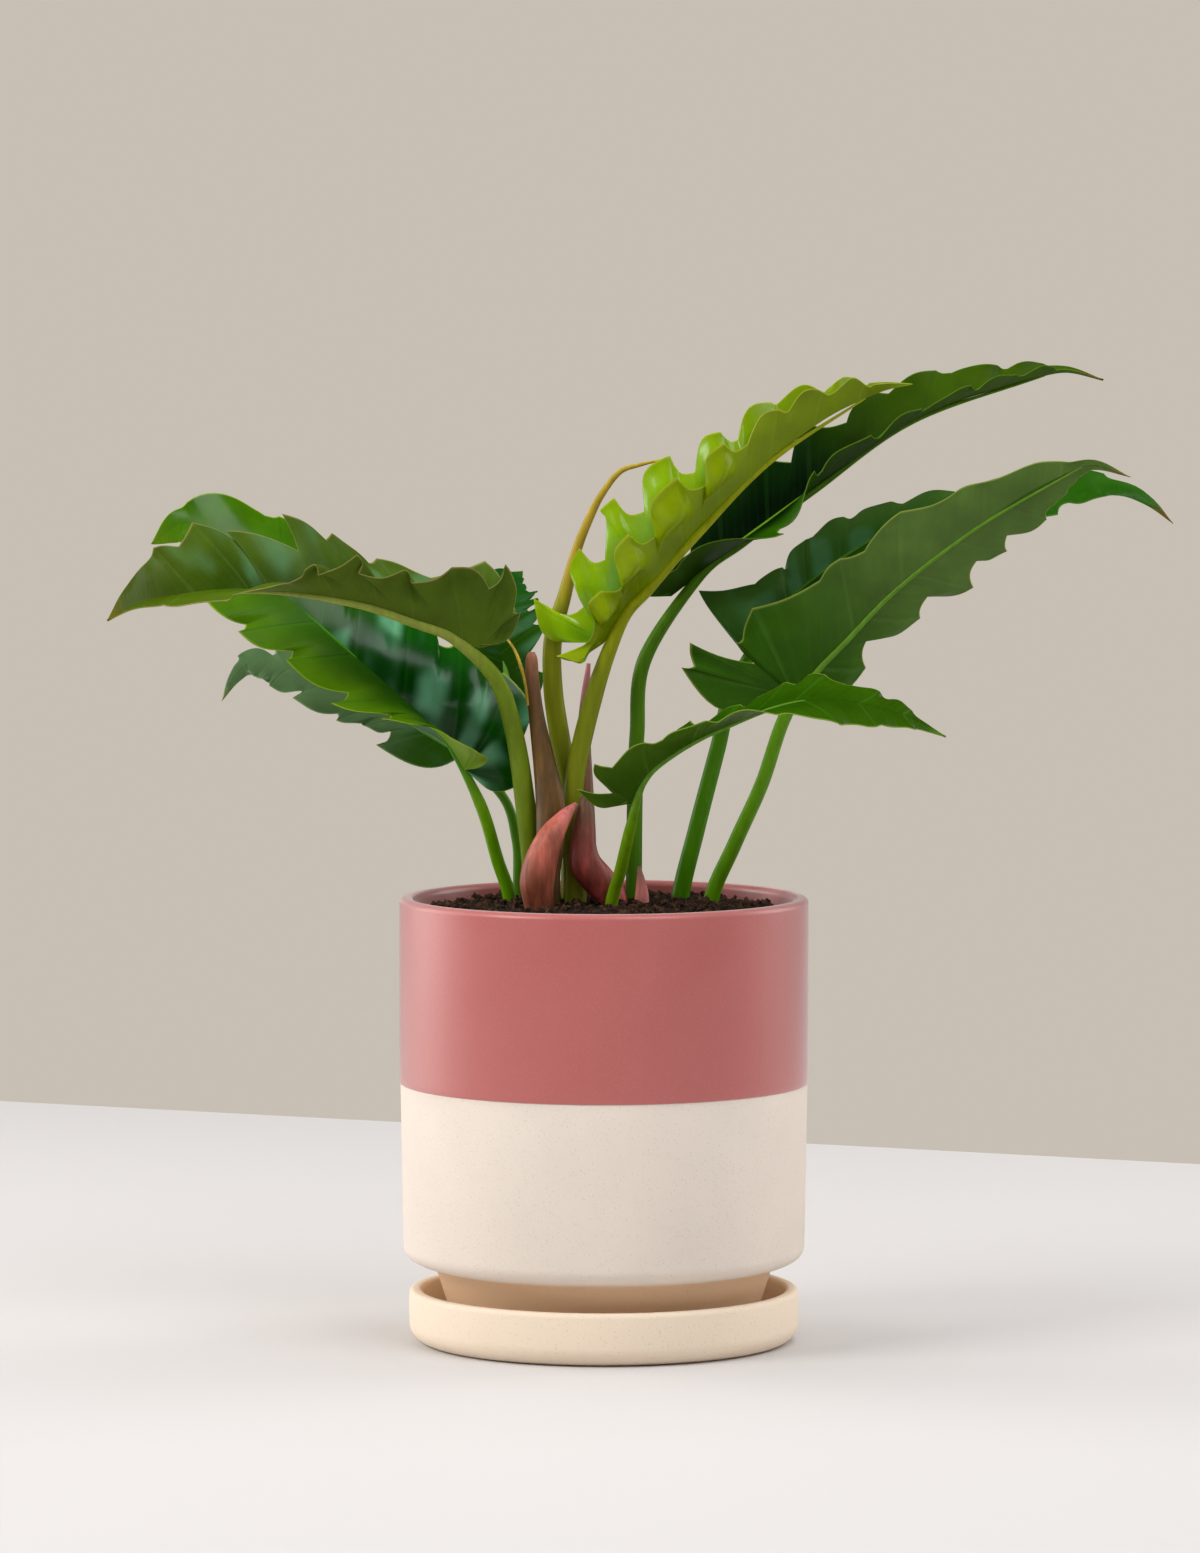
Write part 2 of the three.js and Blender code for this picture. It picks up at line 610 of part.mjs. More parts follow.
// A sheath's solid: crescents along its path, closed by strips at both ends.
function sheathSolid({ path, radius, faces }) {
  const [x, y, z] = path[0];
  const points = [new THREE.Vector3(x, y, z - ROOTED / 2), ...path.map(vector)];
  const radii = [radius[0] * SHEATH_ROOT, ...radius];
  const curve = new THREE.CatmullRomCurve3(points, false, 'catmullrom', 0.5);
  const open = vector(faces).normalize();
  const steps = 2 * (points.length - 1);
  const corners = [];
  for (let i = 0; i <= steps; i++) {
    const centre = curve.getPoint(i / steps);
    const ahead = curve.getTangent(i / steps);
    const across = open.clone().addScaledVector(ahead, -open.dot(ahead)).normalize();
    const beside = new THREE.Vector3().crossVectors(ahead, across);
    const r = along(spread(radii), i / steps);
    const ring = [];
    const hollow = r - Math.min(SHEATH_THICKNESS, r * SHEATH_THINNEST);
    for (const [turnWay, reach] of [[1, r], [-1, hollow]]) {
      for (let k = 0; k <= SHEATH_SIDES; k++) {
        const turn = degrees(SHEATH_OPENING / 2) * turnWay * (1 - (2 * k) / SHEATH_SIDES);
        ring.push(centre.clone()
          .addScaledVector(across, -reach * Math.cos(turn))
          .addScaledVector(beside, reach * Math.sin(turn)));
      }
    }
    corners.push(ring);
  }
  return crescents(corners);
}

// Rings of as many points each, an outer arc and then an inner arc back, capped by strips between them.
function crescents(rings) {
  const n = rings[0].length;
  const half = n / 2;
  const points = rings.flat();
  const triangles = [];
  for (let i = 0; i < rings.length - 1; i++) {
    for (let k = 0; k < n; k++) {
      const [a, b] = [i * n + k, i * n + ((k + 1) % n)];
      triangles.push([a, b, b + n], [a, b + n, a + n]);
    }
  }
  const end = (rings.length - 1) * n;
  for (let k = 0; k < half - 1; k++) {
    const [a, b, c, d] = [k, k + 1, n - 2 - k, n - 1 - k];
    triangles.push([a, c, b], [a, d, c], [end + a, end + b, end + c], [end + a, end + c, end + d]);
  }
  return solidFrom(points, triangles);
}

// The newest leaf, still rolled into a spear, on its own stalk.
const SPEAR = {
  path: [[-12.5, 8, 182], [-13.3, 6, 219.1], [-17.7, 4, 243.5], [-20.5, 3, 263.7], [-20.5, 3, 283.8],
    [-15.7, 3, 302], [-10.8, 3, 320.1], [-5.6, 2, 333], [-0.8, 1, 342.2], [6.4, 0, 351.1],
    [14.5, -1, 354], [23.3, -2, 356]],
  radius: [4.9, 4.4, 4.1, 3.9, 3.7, 2.8, 2, 1.7, 1.4, 1.1, 0.8, 0.4],
};

// A quarter or other arc of [radius, height] places round a centre.
function arc([r, z], radius, from, to, steps) {
  return Array.from({ length: steps + 1 }, (_, i) => {
    const turn = degrees(mix(from, to, i / steps));
    return [r + radius * Math.cos(turn), z + radius * Math.sin(turn)];
  });
}

const RIM_ROUND = 2.6;
const FOOT_ROUND = 2;
const STEP_WIDTH = 4.6;
const STEP_RISE = 1.4;
const SHOULDER_ROUND = [1.6, 4.4];
const INNER_RADIUS = POT_RADIUS - WALL;
const INNER_LOW_RADIUS = 60;
const INNER_LOW_Z = 36;
const INNER_TAPER = [2, 14];
const FLOOR_RADIUS = 54;
const FLOOR_Z = POT_BASE + POT_FLOOR;
const SAUCER_CORNER = 8;
const SAUCER_RIM_ROUND = 2;
const SAUCER_FILLET = [3.5, 4];
const DOME_POWER = 0.5;

// The inside of the pot from its floor up, which the soil fills.
const inside = (gap) => [
  [FLOOR_RADIUS - gap, FLOOR_Z + gap],
  [INNER_LOW_RADIUS - gap, INNER_LOW_Z],
  [INNER_RADIUS - INNER_TAPER[0] - gap, SHOULDER_Z + INNER_TAPER[1]],
];

function makePot() {
  const profile = [
    [DRAIN_RADIUS, POT_BASE],
    ...arc([FOOT_RADIUS - FOOT_ROUND, POT_BASE + FOOT_ROUND], FOOT_ROUND, -90, 0, 2),
    [FOOT_TOP_RADIUS, BODY_FOOT_Z],
    [BODY_FOOT_RADIUS, BODY_FOOT_Z],
    [BODY_FOOT_RADIUS + STEP_WIDTH, BODY_FOOT_Z + STEP_RISE],
    [SHOULDER_RADIUS - SHOULDER_ROUND[0], SHOULDER_Z - SHOULDER_ROUND[1]],
    [SHOULDER_RADIUS, SHOULDER_Z],
    ...arc([POT_RADIUS - RIM_ROUND, POT_TOP - RIM_ROUND], RIM_ROUND, 0, 90, 2),
    ...arc([INNER_RADIUS + RIM_ROUND, POT_TOP - RIM_ROUND], RIM_ROUND, 90, 180, 2),
    ...inside(0).reverse(),
    [DRAIN_RADIUS, FLOOR_Z],
    [DRAIN_RADIUS, POT_BASE],
  ];
  return solidOf(turned(profile));
}

function makeSaucer() {
  const inner = SAUCER_RADIUS - SAUCER_WALL;
  const round = SAUCER_RIM_ROUND;
  const profile = [
    [0, 0],
    [SAUCER_BASE_RADIUS, 0],
    ...arc([SAUCER_RADIUS - SAUCER_CORNER, SAUCER_CORNER], SAUCER_CORNER, -60, 0, 3),
    ...arc([SAUCER_RADIUS - round, SAUCER_HEIGHT - round], round, 0, 90, 2),
    ...arc([inner + round, SAUCER_HEIGHT - round], round, 90, 180, 2),
    [inner, SAUCER_FLOOR + SAUCER_FILLET[1]],
    [inner - SAUCER_FILLET[0], SAUCER_FLOOR],
    [0, SAUCER_FLOOR],
  ];
  return solidOf(turned(profile));
}

// The soil fills the pot down into its drain hole and mounds up round the stems, with a lumpy top.
function makeSoil() {
  const edge = INNER_RADIUS - GAP;
  const top = Array.from({ length: SOIL_RINGS + 1 }, (_, i) => [edge * (1 - i / SOIL_RINGS), SOIL_EDGE]);
  const [low, high, narrow] = [POT_BASE + GAP, FLOOR_Z + GAP, DRAIN_RADIUS - GAP];
  const plug = [[0, low], [narrow, low], [narrow, high]];
  const geometry = turned([...plug, ...inside(GAP), ...top]);
  const position = geometry.attributes.position;
  for (let i = 0; i < position.count; i++) {
    const [x, y, z] = [position.getX(i), position.getY(i), position.getZ(i)];
    const r = Math.hypot(x, y);
    const onTop = z > SOIL_EDGE - LEVEL && r < edge - WALL / 2;
    if (!onTop) continue;
    const rise = SOIL_MOUND * Math.cos((Math.PI / 2) * (r / edge)) ** DOME_POWER;
    const lumps = Math.sin(x * 0.53 + 1.3) * Math.cos(y * 0.61) + Math.sin(y * 1.37 + x * 0.9) * 0.7;
    position.setZ(i, SOIL_EDGE + rise + SOIL_BUMP * lumps);
  }
  return solidOf(geometry);
}

// The hole in the soil that a stem stands in, wider than the stem by a small gap all round.
function hole(path, radii) {
  const [x, y, z] = path[0];
  const low = new THREE.Vector3(x, y, z - ROOTED - GAP);
  const wide = [radii[0], radii[0], radii[1]].map((r) => (r + GAP) / Math.cos(Math.PI / STALK_SIDES));
  return tube([low, ...path.slice(0, 2).map(vector)], wide, STALK_SIDES);
}

const THREAD_RADII = [1, 0.9, 0.8, 0.6, 0.4];
const THREAD_SIDES = 5;
const plant = {};
const holes = [];
for (const [name, leaf] of Object.entries(LEAVES)) {
  const line = rail(leaf.midrib);
  plant[name] = { solid: bladeSolid(leaf, line).add(stalkSolid(leaf, line)), color: leaf.color };
  holes.push(hole(leaf.stalk, [leaf.radius[0], leaf.radius[0]]));
}
for (const [name, sheath] of Object.entries(SHEATHS)) {
  let solid = sheathSolid(sheath);
  if (sheath.thread) solid = solid.add(tube(sheath.thread.map(vector), THREAD_RADII, THREAD_SIDES));
  plant[name] = { solid, color: sheath.color };
  // A sheath leans as it leaves the soil, so its hole is wider by one more gap
  holes.push(hole(sheath.path, sheath.radius.map((r) => r + GAP)));
}
plant.new_leaf_spear = {
  solid: tube(rooted(SPEAR.path), [SPEAR.radius[0], ...SPEAR.radius], STALK_SIDES),
  color: '#9aa03a',
};
holes.push(hole(SPEAR.path, SPEAR.radius));

const soil = holes.reduce((rest, cut) => rest.subtract(cut), makeSoil());

const model = new THREE.Group();

function add(name, solid, color, roughness) {
  const material = new THREE.MeshStandardMaterial({ color, roughness, metalness: 0 });
  const mesh = new THREE.Mesh(geometryOf(solid), material);
  mesh.name = name;
  model.add(mesh);
}

add('pot', makePot(), '#be6866', 0.45);
add('saucer', makeSaucer(), '#f0ddc3', 0.7);
add('soil', soil, '#322319', 1);
for (const [name, { solid, color }] of Object.entries(plant)) {
  add(name, solid, color, 0.4);
}

export default model;
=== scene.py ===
"""A potted philodendron with narrow, deeply toothed leaves, in a two-tone clay pot on its saucer.

Sizes are millimetres here, in the frame's own axes: +Z up and the plant's front towards -Y.
"""
import json
import math
import random

import bmesh
import bpy
import numpy as np
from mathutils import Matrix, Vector


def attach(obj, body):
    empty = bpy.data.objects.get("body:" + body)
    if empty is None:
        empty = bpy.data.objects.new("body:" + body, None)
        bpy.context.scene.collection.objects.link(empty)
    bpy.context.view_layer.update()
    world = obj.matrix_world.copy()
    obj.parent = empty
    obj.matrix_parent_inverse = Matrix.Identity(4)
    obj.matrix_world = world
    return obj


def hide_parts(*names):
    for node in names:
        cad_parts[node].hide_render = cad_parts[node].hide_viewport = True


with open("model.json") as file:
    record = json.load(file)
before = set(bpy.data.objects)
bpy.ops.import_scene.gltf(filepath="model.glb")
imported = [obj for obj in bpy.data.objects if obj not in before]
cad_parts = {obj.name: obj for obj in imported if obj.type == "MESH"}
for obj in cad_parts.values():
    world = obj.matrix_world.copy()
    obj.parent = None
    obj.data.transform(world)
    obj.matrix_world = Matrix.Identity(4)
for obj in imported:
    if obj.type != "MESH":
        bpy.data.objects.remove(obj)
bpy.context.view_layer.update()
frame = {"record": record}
SLOTS = {row["node"]: row["material_slot"] for row in frame["record"]["subparts"]}

MM = 0.001
TINY = 1e-9
WELD = 1e-3
SHARP_ANGLE = 38

# The photograph's frame in pixels, and the camera that sees the pot as it does
IMAGE_HEIGHT = 1553
FOCAL_PIXELS = 7470
SENSOR = 36.0
CAMERA_AT = (-1.6, -3000, 446)
CAMERA_AIM = (-1.6, 0, 228.5)

# Pot and saucer, as their solids have them
POT_RADIUS = 82.5
POT_TOP = 180
WALL = 6.2
SHOULDER_RADIUS = 81
SHOULDER_Z = 41
BODY_FOOT_RADIUS = 71
BODY_FOOT_Z = 31
FOOT_TOP_RADIUS = 68.3
FOOT_RADIUS = 61
DRAIN_RADIUS = 7
RIM_ROUND = 2.6
GLAZE_Z = 105
GLAZE_THICK = 0.35
INNER_GLAZE_Z = 150
SAUCER_RADIUS = 78.7
SAUCER_HEIGHT = 21.5
SAUCER_WALL = 5.5
SAUCER_FLOOR = 6
SAUCER_BASE_RADIUS = 68
SAUCER_RECESS = 0.6
SAUCER_RING = 2
SAUCER_BEND = 8
SAUCER_RIM_ROUND = 2
SAUCER_HOLLOW = 4
POT_BASE = 6.3
POT_FLOOR_Z = 14.3
FOOT_ROUND = 2
BODY_ROUND = 0.8
SHOULDER_ROUND = 6
INSIDE_Z = SHOULDER_Z + 14
INSIDE_NARROWS = 2
INSIDE_TURN = (60, 36)
INSIDE_FLOOR_RADIUS = 54
ROUND_STEPS = 192
SOIL_EDGE = 172
SOIL_MOUND = 6
ROOTED = 26

# A leaf's half blade: how its edge runs, as in the solids
LEAN = 0.7
LAST_NOTCH = 0.95
TOOTH_SHARE = 0.62
TOOTH_BULGE = 0.17
BACK_BULGE = 0.3
NOTCH_BULGE = 0.16
LEAST_OUT = 0.8
SWELL_END = 0.8
SWELL_LOW = 0.4
CURL_WIDTH = 25
LEAST_CURL = 1e-5
WAVE = 1.5

# A leaf's midrib and thickness, and how finely it is drawn
RIB_PLACES = (0.07, 0.18, 0.36, 0.6, 0.88)
RIB_RADIUS = 2.2
RIB_STEP = 0.75
RIB_SUNK = 0.5
RIB_END = 0.4
TOOTH_STEPS = 22
ACROSS_STEPS = 18
STALK_STEPS = 22
STALK_SIDES = 20
RIB_THICK = 0.9
MARGIN_THICK = 0.45

# The blade's fine relief: pillows between veins, puffs and ruffles. A pair says how far out from the
# midrib, or how far along it, the blade's edge lies where the relief comes in or goes
PILLOW = 0.4
PILLOW_RISE = 8
PILLOW_OUT = (3, 10)
PILLOW_ALONG = (-5, 10)
PUFF_AT = 0.5
PUFF_OUT = 0.66
PUFF_WIDTH = 0.22
PUFF_GROWS = (4, 14)
PUFF_ENDS = (85, 110)
RUFFLE = 0.5
RUFFLE_TURNS = 1.6
RUFFLE_SHIFT = 0.3
RUFFLE_GROWS = (2, 12)


def srgb(red, green, blue):
    """A colour by its 0 to 255 screen values, in the linear values that shaders take."""
    def linear(v):
        return v / 12.92 if v <= 0.04045 else ((v + 0.055) / 1.055) ** 2.4
    return (*(linear(v / 255) for v in (red, green, blue)), 1.0)


def unit(vectors):
    """Vectors along the last axis, made 1 long."""
    return vectors / np.maximum(np.linalg.norm(vectors, axis=-1, keepdims=True), TINY)


def passed(points):
    """The distance passed along a row of points, at each of them."""
    return np.concatenate([[0], np.cumsum(np.linalg.norm(np.diff(points, axis=0), axis=1))])


def smooth(knots, u):
    """A smooth curve through evenly spaced knots, and its direction, at places u from 0 to 1."""
    knots = np.atleast_2d(np.array(knots, float).T).T
    u = np.asarray(u, float)
    if len(knots) == 1:
        return np.broadcast_to(knots[0], (*u.shape, knots.shape[1])), None
    ends = np.vstack([2 * knots[0] - knots[1], knots, 2 * knots[-1] - knots[-2]])
    place = np.clip(u, 0, 1) * (len(knots) - 1)
    i = np.minimum(place.astype(int), len(knots) - 2)
    w = (place - i)[..., None]
    p0, p1, p2, p3 = (ends[i + k] for k in range(4))
    start, stop = (p2 - p0) / 2, (p3 - p1) / 2
    square = -3 * p1 + 3 * p2 - 2 * start - stop
    cube = 2 * p1 - 2 * p2 + start + stop
    value = p1 + start * w + square * w ** 2 + cube * w ** 3
    slope = start + 2 * square * w + 3 * cube * w ** 2
    return value, unit(slope)


def ease(x, low, high):
    """0 below low, 1 above high and a smooth step between them."""
    q = np.clip((np.asarray(x, float) - low) / (high - low), 0, 1)
    return q * q * (3 - 2 * q)


def placed(name, data):
    """A new object of the scene with this mesh, lamp or camera."""
    thing = bpy.data.objects.new(name, data)
    bpy.context.scene.collection.objects.link(thing)
    return thing


class Shape:
    """Vertices, faces and texture places of one mesh, gathered grid by grid."""

    def __init__(self):
        self.points, self.faces, self.places, self.marks = [], [], [], {}

    def grid(self, points, places=None, flip=False, **marks):
        """A sheet of rows by columns of points; places are its texture coordinates."""
        rows, columns = points.shape[:2]
        start = len(self.points)
        self.points.extend(points.reshape(-1, 3))
        if places is None:
            places = np.zeros((rows, columns, 2))
        flat = places.reshape(-1, 2)
        for name, value in marks.items():
            known = self.marks.setdefault(name, [])
            known.extend([0.0] * (start - len(known)))
            known.extend(np.broadcast_to(value, (rows, columns)).reshape(-1))
        for i in range(rows - 1):
            for j in range(columns - 1):
                a = i * columns + j
                corners = [a, a + 1, a + columns + 1, a + columns]
                if flip:
                    corners.reverse()
                self.faces.append([start + c for c in corners])
                self.places.extend(flat[c] for c in corners)

    def build(self, name, material):
        """The gathered mesh as a smooth shaded object, its coinciding vertices joined."""
        mesh = bpy.data.meshes.new(name)
        mesh.from_pydata((np.array(self.points) * MM).tolist(), [], self.faces)
        layer = mesh.uv_layers.new(name="place")
        layer.data.foreach_set("uv", np.array(self.places, np.float32).reshape(-1))
        for mark, values in self.marks.items():
            values = list(values) + [0.0] * (len(self.points) - len(values))
            mesh.attributes.new(mark, "FLOAT", "POINT").data.foreach_set("value", values)
        work = bmesh.new()
        work.from_mesh(mesh)
        bmesh.ops.remove_doubles(work, verts=work.verts, dist=WELD * MM)
        bmesh.ops.dissolve_degenerate(work, edges=work.edges, dist=WELD * MM * 0.1)
        work.to_mesh(mesh)
        work.free()
        mesh.shade_smooth()
        mesh.set_sharp_from_angle(angle=math.radians(SHARP_ANGLE))
        mesh.materials.append(material)
        return placed(name, mesh)


def settle(piece, slot, *nodes):
    """The piece rides on the frame and stands for its nodes, whose solids are hidden; the slot is not
    used.
    """
    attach(piece, "root")
    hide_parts(*nodes)
    return piece


def turned(shape, profile, steps=ROUND_STEPS):
    """A surface turned round the axis from [radius, height] pairs, outside face first."""
    turns = np.linspace(0, 2 * math.pi, steps + 1)
    turns[-1] = 0
    rows = np.array([[[r * math.cos(t), r * math.sin(t), z] for t in turns] for r, z in profile])
    lengths = passed(np.array(profile))
    places = np.zeros((len(profile), steps + 1, 2))
    places[..., 0] = np.linspace(0, 1, steps + 1)
    places[..., 1] = lengths[:, None] / lengths[-1]
    shape.grid(rows, places)


def arc(centre, radius, start, stop, steps):
    """Places on an arc round a [radius, height] centre, by angles in degrees."""
    turns = np.radians(np.linspace(start, stop, steps + 1))
    return [(centre[0] + radius * math.cos(t), centre[1] + radius * math.sin(t)) for t in turns]


def tube(shape, knots, radii, steps, sides, **marks):
    """A tube through knots with a radius at each, closed at both ends."""
    u = np.linspace(0, 1, steps + 1)
    centres, ahead = smooth(knots, u)
    width = np.interp(u, np.linspace(0, 1, len(radii)), radii)
    across = np.array([0.0, 1.0, 0.0])
    turns = np.linspace(0, 2 * math.pi, sides + 1)
    turns[-1] = 0
    rows = []
    for i in range(steps + 1):
        across = unit(across - ahead[i] * across.dot(ahead[i]))
        beside = np.cross(ahead[i], across)
        ring = np.outer(np.cos(turns), across) + np.outer(np.sin(turns), beside)
        rows.append(centres[i] + ring * width[i])
    first, last = (np.broadcast_to(centres[k], rows[0].shape) for k in (0, -1))
    rows = [first, *rows, last]
    places = np.zeros((steps + 3, sides + 1, 2))
    places[..., 0] = np.linspace(0, 1, sides + 1)
    places[..., 1] = np.concatenate([[0], u, [1]])[:, None]
    shape.grid(np.array(rows), places, **marks)


DOT_CORE = 0.1


class Shader:
    """The node tree of one material, with short calls for the nodes it uses."""

    def __init__(self, name, **surface):
        self.material = bpy.data.materials.new(name)
        self.material.use_nodes = True
        self.tree = self.material.node_tree
        self.surface = self.tree.nodes["Principled BSDF"]
        for socket, value in surface.items():
            self.surface.inputs[socket.replace("_", " ")].default_value = value
        self.where = self.tree.nodes.new("ShaderNodeTexCoord").outputs["Object"]

    def put(self, socket, value):
        """A number, a colour or another node's output into a socket."""
        if isinstance(value, bpy.types.NodeSocket):
            self.tree.links.new(value, socket)
        else:
            socket.default_value = value

    def math(self, operation, *values):
        node = self.tree.nodes.new("ShaderNodeMath")
        node.operation = operation
        for socket, value in zip(node.inputs, values):
            self.put(socket, value)
        return node.outputs[0]

    def times(self, first, second):
        return self.math("MULTIPLY", first, second)

    def inverse(self, value):
        """1 minus a value."""
        return self.math("SUBTRACT", 1.0, value)

    def band(self, value, low, high, out_low=0.0, out_high=1.0):
        """A smooth step of a value from low to high."""
        node = self.tree.nodes.new("ShaderNodeMapRange")
        node.interpolation_type = "SMOOTHSTEP"
        for socket, number in zip(node.inputs, (value, low, high, out_low, out_high)):
            self.put(socket, number)
        return node.outputs[0]

    def mix(self, share, first, second, blend="MIX"):
        node = self.tree.nodes.new("ShaderNodeMix")
        node.data_type = "RGBA"
        node.blend_type = blend
        self.put(node.inputs[0], share)
        self.put(node.inputs[6], first)
        self.put(node.inputs[7], second)
        return node.outputs[2]

    def shade(self, color, share, dark, light):
        """A colour multiplied by a mix of two factors for its red, green and blue."""
        return self.mix(1.0, color, self.mix(share, (*dark, 1), (*light, 1)), "MULTIPLY")

    def noise(self, scale, detail=2.0, roughness=0.5, stretch=None):
        node = self.tree.nodes.new("ShaderNodeTexNoise")
        where = self.where
        if stretch:
            mapping = self.tree.nodes.new("ShaderNodeMapping")
            mapping.inputs["Scale"].default_value = stretch
            self.put(mapping.inputs["Vector"], where)
            where = mapping.outputs[0]
        self.put(node.inputs["Vector"], where)
        node.inputs["Scale"].default_value = scale
        node.inputs["Detail"].default_value = detail
        node.inputs["Roughness"].default_value = roughness
        return node.outputs["Fac"]

    def dots(self, scale, edge):
        """A mask of scattered dots that fade out towards their edge, and a random number for each."""
        node = self.tree.nodes.new("ShaderNodeTexVoronoi")
        self.put(node.inputs["Vector"], self.where)
        node.inputs["Scale"].default_value = scale
        split = self.tree.nodes.new("ShaderNodeSeparateColor")
        self.put(split.inputs[0], node.outputs["Color"])
        return self.inverse(self.band(node.outputs["Distance"], DOT_CORE, edge)), split.outputs[0]

    def mark(self, name):
        node = self.tree.nodes.new("ShaderNodeAttribute")
        node.attribute_name = name
        return node.outputs["Fac"]

    def place(self):
        """The two texture coordinates."""
        node = self.tree.nodes.new("ShaderNodeUVMap")
        node.uv_map = "place"
        split = self.tree.nodes.new("ShaderNodeSeparateXYZ")
        self.put(split.inputs[0], node.outputs[0])
        return split.outputs[0], split.outputs[1]

    def height(self):
        """The object's own height in metres."""
        split = self.tree.nodes.new("ShaderNodeSeparateXYZ")
        self.put(split.inputs[0], self.where)
        return split.outputs[2]

    def finish(self, color, roughness=None, bump=None, depth=0.001, strength=1.0):
        self.put(self.surface.inputs["Base Color"], color)
        if roughness is not None:
            self.put(self.surface.inputs["Roughness"], roughness)
        if bump is not None:
            node = self.tree.nodes.new("ShaderNodeBump")
            node.inputs["Strength"].default_value = strength
            node.inputs["Distance"].default_value = depth
            self.put(node.inputs["Height"], bump)
            self.put(self.surface.inputs["Normal"], node.outputs[0])
        return self.material


# Camera, lights and backdrop

def make_camera():
    data = bpy.data.cameras.new("camera")
    data.sensor_fit = "VERTICAL"
    data.sensor_height = SENSOR
    data.lens = FOCAL_PIXELS / IMAGE_HEIGHT * SENSOR
    data.clip_end = 50
    camera = placed("camera", data)
    camera.location = Vector(CAMERA_AT) * MM
    look = (Vector(CAMERA_AIM) - Vector(CAMERA_AT)).to_track_quat("-Z", "Y")
    camera.rotation_euler = look.to_euler()
    bpy.context.scene.camera = camera


# Each soft box: where it stands, the height on the pot's axis that it faces, its size, watts and colour
LIGHTS = {
    "key": ((-1500, -900, 1500), 150, (900, 900), 25, (255, 253, 250)),
    "side": ((-1540, 620, 560), 150, (1000, 1100), 14, (255, 252, 250)),
    "rim": ((1540, 620, 740), 150, (1000, 1100), 11, (255, 253, 250)),
    "fill": ((1300, -1900, 900), 200, (1400, 1400), 4, (255, 253, 250)),
    "window": ((640, -900, 1620), 250, (1000, 1000), 13, (250, 252, 255)),
    "top": ((0, 300, 1900), 100, (1300, 1300), 16, (255, 253, 250)),
}
NOT_IN_SHINE = "top"


def area_light(name, at, facing, size, watts, color):
    """A soft box; the one not in the shine lights things without showing in their reflections."""
    data = bpy.data.lights.new(name, "AREA")
    data.shape = "RECTANGLE"
    data.size, data.size_y = size[0] * MM, size[1] * MM
    data.energy = watts
    data.color = srgb(*color)[:3]
    lamp = placed(name, data)
    lamp.location = Vector(at) * MM
    lamp.rotation_euler = (Vector((0, 0, facing)) - Vector(at)).to_track_quat("-Z", "Y").to_euler()
    lamp.visible_glossy = name != NOT_IN_SHINE


# The table top's far edge runs between these two places on the floor, in millimetres
TABLE_EDGE = ((-307.8, 833.1), (287.2, 571.7))
TABLE_SIZE = 2600
WALL_COLOR = srgb(199, 191, 179)
WALL_DISTANCE = 20000
ROOM_LIGHT = srgb(226, 224, 222)
ROOM_STRENGTH = 0.36
TABLE_COLOR = srgb(208, 205, 204)


def make_backdrop():
    """A plain wall colour far off all round, which lights nothing and shows in no reflection."""
    shape = Shape()
    turned(shape, arc((0, 0), WALL_DISTANCE, -90, 90, 24), 48)
    glow = {"Emission_Color": WALL_COLOR, "Emission_Strength": 1.0}
    paint = Shader("wall", Roughness=1.0, Specular_IOR_Level=0.0, **glow)
    wall = shape.build("backdrop", paint.finish((0, 0, 0, 1)))
    wall.visible_diffuse = False
    wall.visible_glossy = False
    wall.visible_transmission = False
    wall.visible_shadow = False


def make_stage():
    world = bpy.data.worlds.new("room")
    world.use_nodes = True
    background = world.node_tree.nodes["Background"]
    background.inputs["Color"].default_value = ROOM_LIGHT
    background.inputs["Strength"].default_value = ROOM_STRENGTH
    world.cycles_visibility.glossy = False
    bpy.context.scene.world = world
    bpy.context.scene.view_settings.view_transform = "Standard"
    bpy.context.scene.view_settings.look = "None"
    left, right = (np.array([*p, 0.0]) for p in TABLE_EDGE)
    along = unit(right - left)
    nearer = np.array([along[1], -along[0], 0.0])
    middle = (left + right) / 2
    half = along * TABLE_SIZE / 2
    far = np.array([middle - half, middle + half])
    shape = Shape()
    shape.grid(np.stack([far, far + nearer * TABLE_SIZE]), flip=True)
    paint = Shader("table_top", Roughness=0.75, Specular_IOR_Level=0.2)
    shape.build("table_top", paint.finish(TABLE_COLOR))
    make_backdrop()
    for name, light in LIGHTS.items():
        area_light(name, *light)


